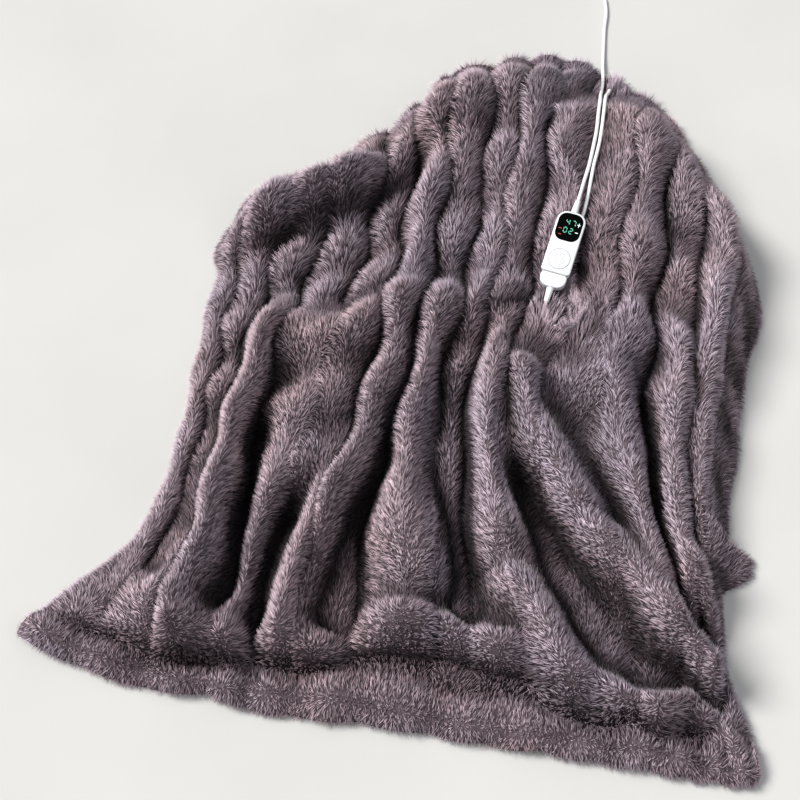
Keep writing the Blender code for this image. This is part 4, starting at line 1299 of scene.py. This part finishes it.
def digit_bars(digit, x, y):
    """The lit strokes of one seven-stroke digit."""
    side, quarter = (DIGIT_WIDE - STROKE) / 2, (DIGIT_HIGH - STROKE) / 4
    flat = DIGIT_WIDE - 2.6 * STROKE
    tall = 2 * quarter - 1.6 * STROKE
    places = [(0.0, 2 * level * quarter, flat, STROKE) for level in (1, 0, -1)]
    places += [(a * side, b * quarter, STROKE, tall) for b in (1, -1) for a in (-1, 1)]
    lit = (place for on, place in zip(STROKES[digit], places) if on == "1")
    return [bar(x + a, y + b, wide, high) for a, b, wide, high in lit]


def ring_parts(radii, y, start=0.0, end=2 * math.pi, parts=48):
    """A flat ring or part of one, as a chain of short four-sided outlines."""
    outer, inner = radii
    outlines = []
    for i in range(parts):
        a, b = (start + (end - start) * j / parts for j in (i, i + 1))
        corners = ((inner, a), (outer, a), (outer, b), (inner, b))
        outlines.append([(r * math.cos(t), y + r * math.sin(t)) for r, t in corners])
    return outlines


def mark_piece(name, outlines, low, material, body):
    """Thin closed marks lying on the controller's face: convex outlines in its own frame."""
    bm = bmesh.new()
    for outline in outlines:
        bottom = [bm.verts.new((x, y, low)) for x, y in outline]
        top = [bm.verts.new((x, y, low + MARK_DEPTH)) for x, y in outline]
        bm.faces.new(top)
        bm.faces.new(bottom[::-1])
        for i in range(len(outline)):
            j = (i + 1) % len(outline)
            bm.faces.new((bottom[i], bottom[j], top[j], top[i]))
    bmesh.ops.transform(bm, verts=bm.verts, matrix=CONTROLLER)
    bmesh.ops.recalc_face_normals(bm, faces=bm.faces)
    mesh = bpy.data.meshes.new(name)
    bm.to_mesh(mesh)
    bm.free()
    dress(add_object(name, mesh), material, body)


def make_marks():
    """Lit numbers and signs on the display, and thin printed lines on the keys."""
    green = printed_material("lit_green", (0.10, 0.42, 0.28), 0.9)
    pale = printed_material("lit_white", (0.60, 0.66, 0.66), 0.9)
    red = printed_material("lit_red", (0.32, 0.03, 0.03), 0.7)
    grey = printed_material("grey_print", (0.34, 0.35, 0.36), 0.0)
    digits = [line for digit, x, y in DIGITS for line in digit_bars(digit, x, DISPLAY_Y + y)]
    signs, dashes = (
        [bar(x, DISPLAY_Y + y, wide, high) for x, y, wide, high in marks]
        for marks in (WHITE_MARKS, RED_MARKS)
    )
    start, end = (math.radians(turn) for turn in CENTRE_TURNS)
    centre = ring_parts(CENTRE_LINE, KEYS_Y, start, end, 32)
    centre.append(bar(0.0, KEYS_Y + CENTRE_BAR, 0.0008, CENTRE_BAR))
    ring = ring_parts(RING_LINE, KEYS_Y)
    for name, outlines, low, material, body, slot in (
        ("display_digits", digits, DISPLAY_TOP, green, "blanket", "display_black"),
        ("display_signs", signs, DISPLAY_TOP, pale, "blanket", "display_black"),
        ("display_dashes", dashes, DISPLAY_TOP, red, "blanket", "display_black"),
        ("key_ring_line", ring, KEY_TOP, grey, "key_ring", "key_plastic"),
        ("key_centre_sign", centre, KEY_TOP, grey, "key_centre", "key_plastic"),
    ):
        mark_piece(name, outlines, low, material, body)


# ---------------------------------------------------------------- stage
def make_light(name, kind, energy, color):
    light = bpy.data.lights.new(name, kind)
    light.energy = energy
    light.color = color
    return light, add_object(name, light)


def make_stage():
    """A plain pale floor, a soft key light and a weak fill."""
    bm = bmesh.new()
    bmesh.ops.create_grid(bm, x_segments=1, y_segments=1, size=6.0)
    mesh = bpy.data.meshes.new("studio_floor")
    bm.to_mesh(mesh)
    bm.free()
    mesh.materials.append(floor_material())
    floor = add_object("studio_floor", mesh)
    floor.location.z = -0.0002
    world = bpy.data.worlds.new("studio")
    world.use_nodes = True
    background = world.node_tree.nodes["Background"]
    background.inputs["Color"].default_value = (0.93, 0.95, 1.0, 1.0)
    background.inputs["Strength"].default_value = 0.55
    bpy.context.scene.world = world
    bpy.context.scene.view_settings.view_transform = "Standard"
    sun, key = make_light("key", "SUN", 5.2, (1.0, 0.985, 0.965))
    sun.angle = math.radians(24.0)
    key.rotation_euler = SUN_WAY.to_track_quat("Z", "Y").to_euler()
    panel, fill = make_light("fill", "AREA", 14.0, (0.93, 0.96, 1.0))
    panel.shape = "DISK"
    panel.size = 2.0
    fill.location = FILL_PLACE
    fill.rotation_euler = (FILL_TARGET - FILL_PLACE).to_track_quat("-Z", "Y").to_euler()


# ---------------------------------------------------------------- build
make_camera()
sheath = moulded_material("cable_sheath", (0.72, 0.72, 0.715), 0.42, 500.0)
mains = dress(cord_curve("mains_cable", mains_places()), sheath, "blanket")
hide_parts("mains_lead", "mains_coil", "mains_tail")
second_places = smooth_route(BLANKET_ROUTE, CORD_STEP)
second = dress(cord_curve("blanket_cable", second_places), sheath, "blanket")
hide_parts("blanket_lead")

make_stage()

sheet_verts, sheet_faces, cloth_tops = sheet_mesh()
sheet = mesh_object("blanket_cloth", sheet_verts, sheet_faces)
dress(sheet, backing_material(), "blanket")
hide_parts("blanket")
maps = height_maps()
# The sheet's painted shade in creases and painted light on ridges.
point_values(sheet, "rise", relief(np.concatenate((cloth_tops, cloth_tops)), maps))
grow_pile(pile_material(), maps)

white = moulded_material("white_case", (0.70, 0.715, 0.73), 0.26, 900.0, 0.25)
keys = moulded_material("key_face", (0.66, 0.675, 0.69), 0.36, 900.0)
black = moulded_material("display_glass", (0.0008, 0.001, 0.001), 0.12, 120.0, specular=0.05)
metal = metal_material()
for names, material in (
    (("controller_base", "controller_shell", "controller_end_cap", "mains_relief"), white),
    (("blanket_relief", "blanket_gland", "plug_neck", "plug_body"), white),
    (("key_ring", "key_centre"), keys),
    (("display_window",), black),
    (("plug_pin_left", "plug_pin_right"), metal),
):
    for name in names:
        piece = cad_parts[name]
        piece.data.materials.clear()
        piece.data.materials.append(material)

make_marks()
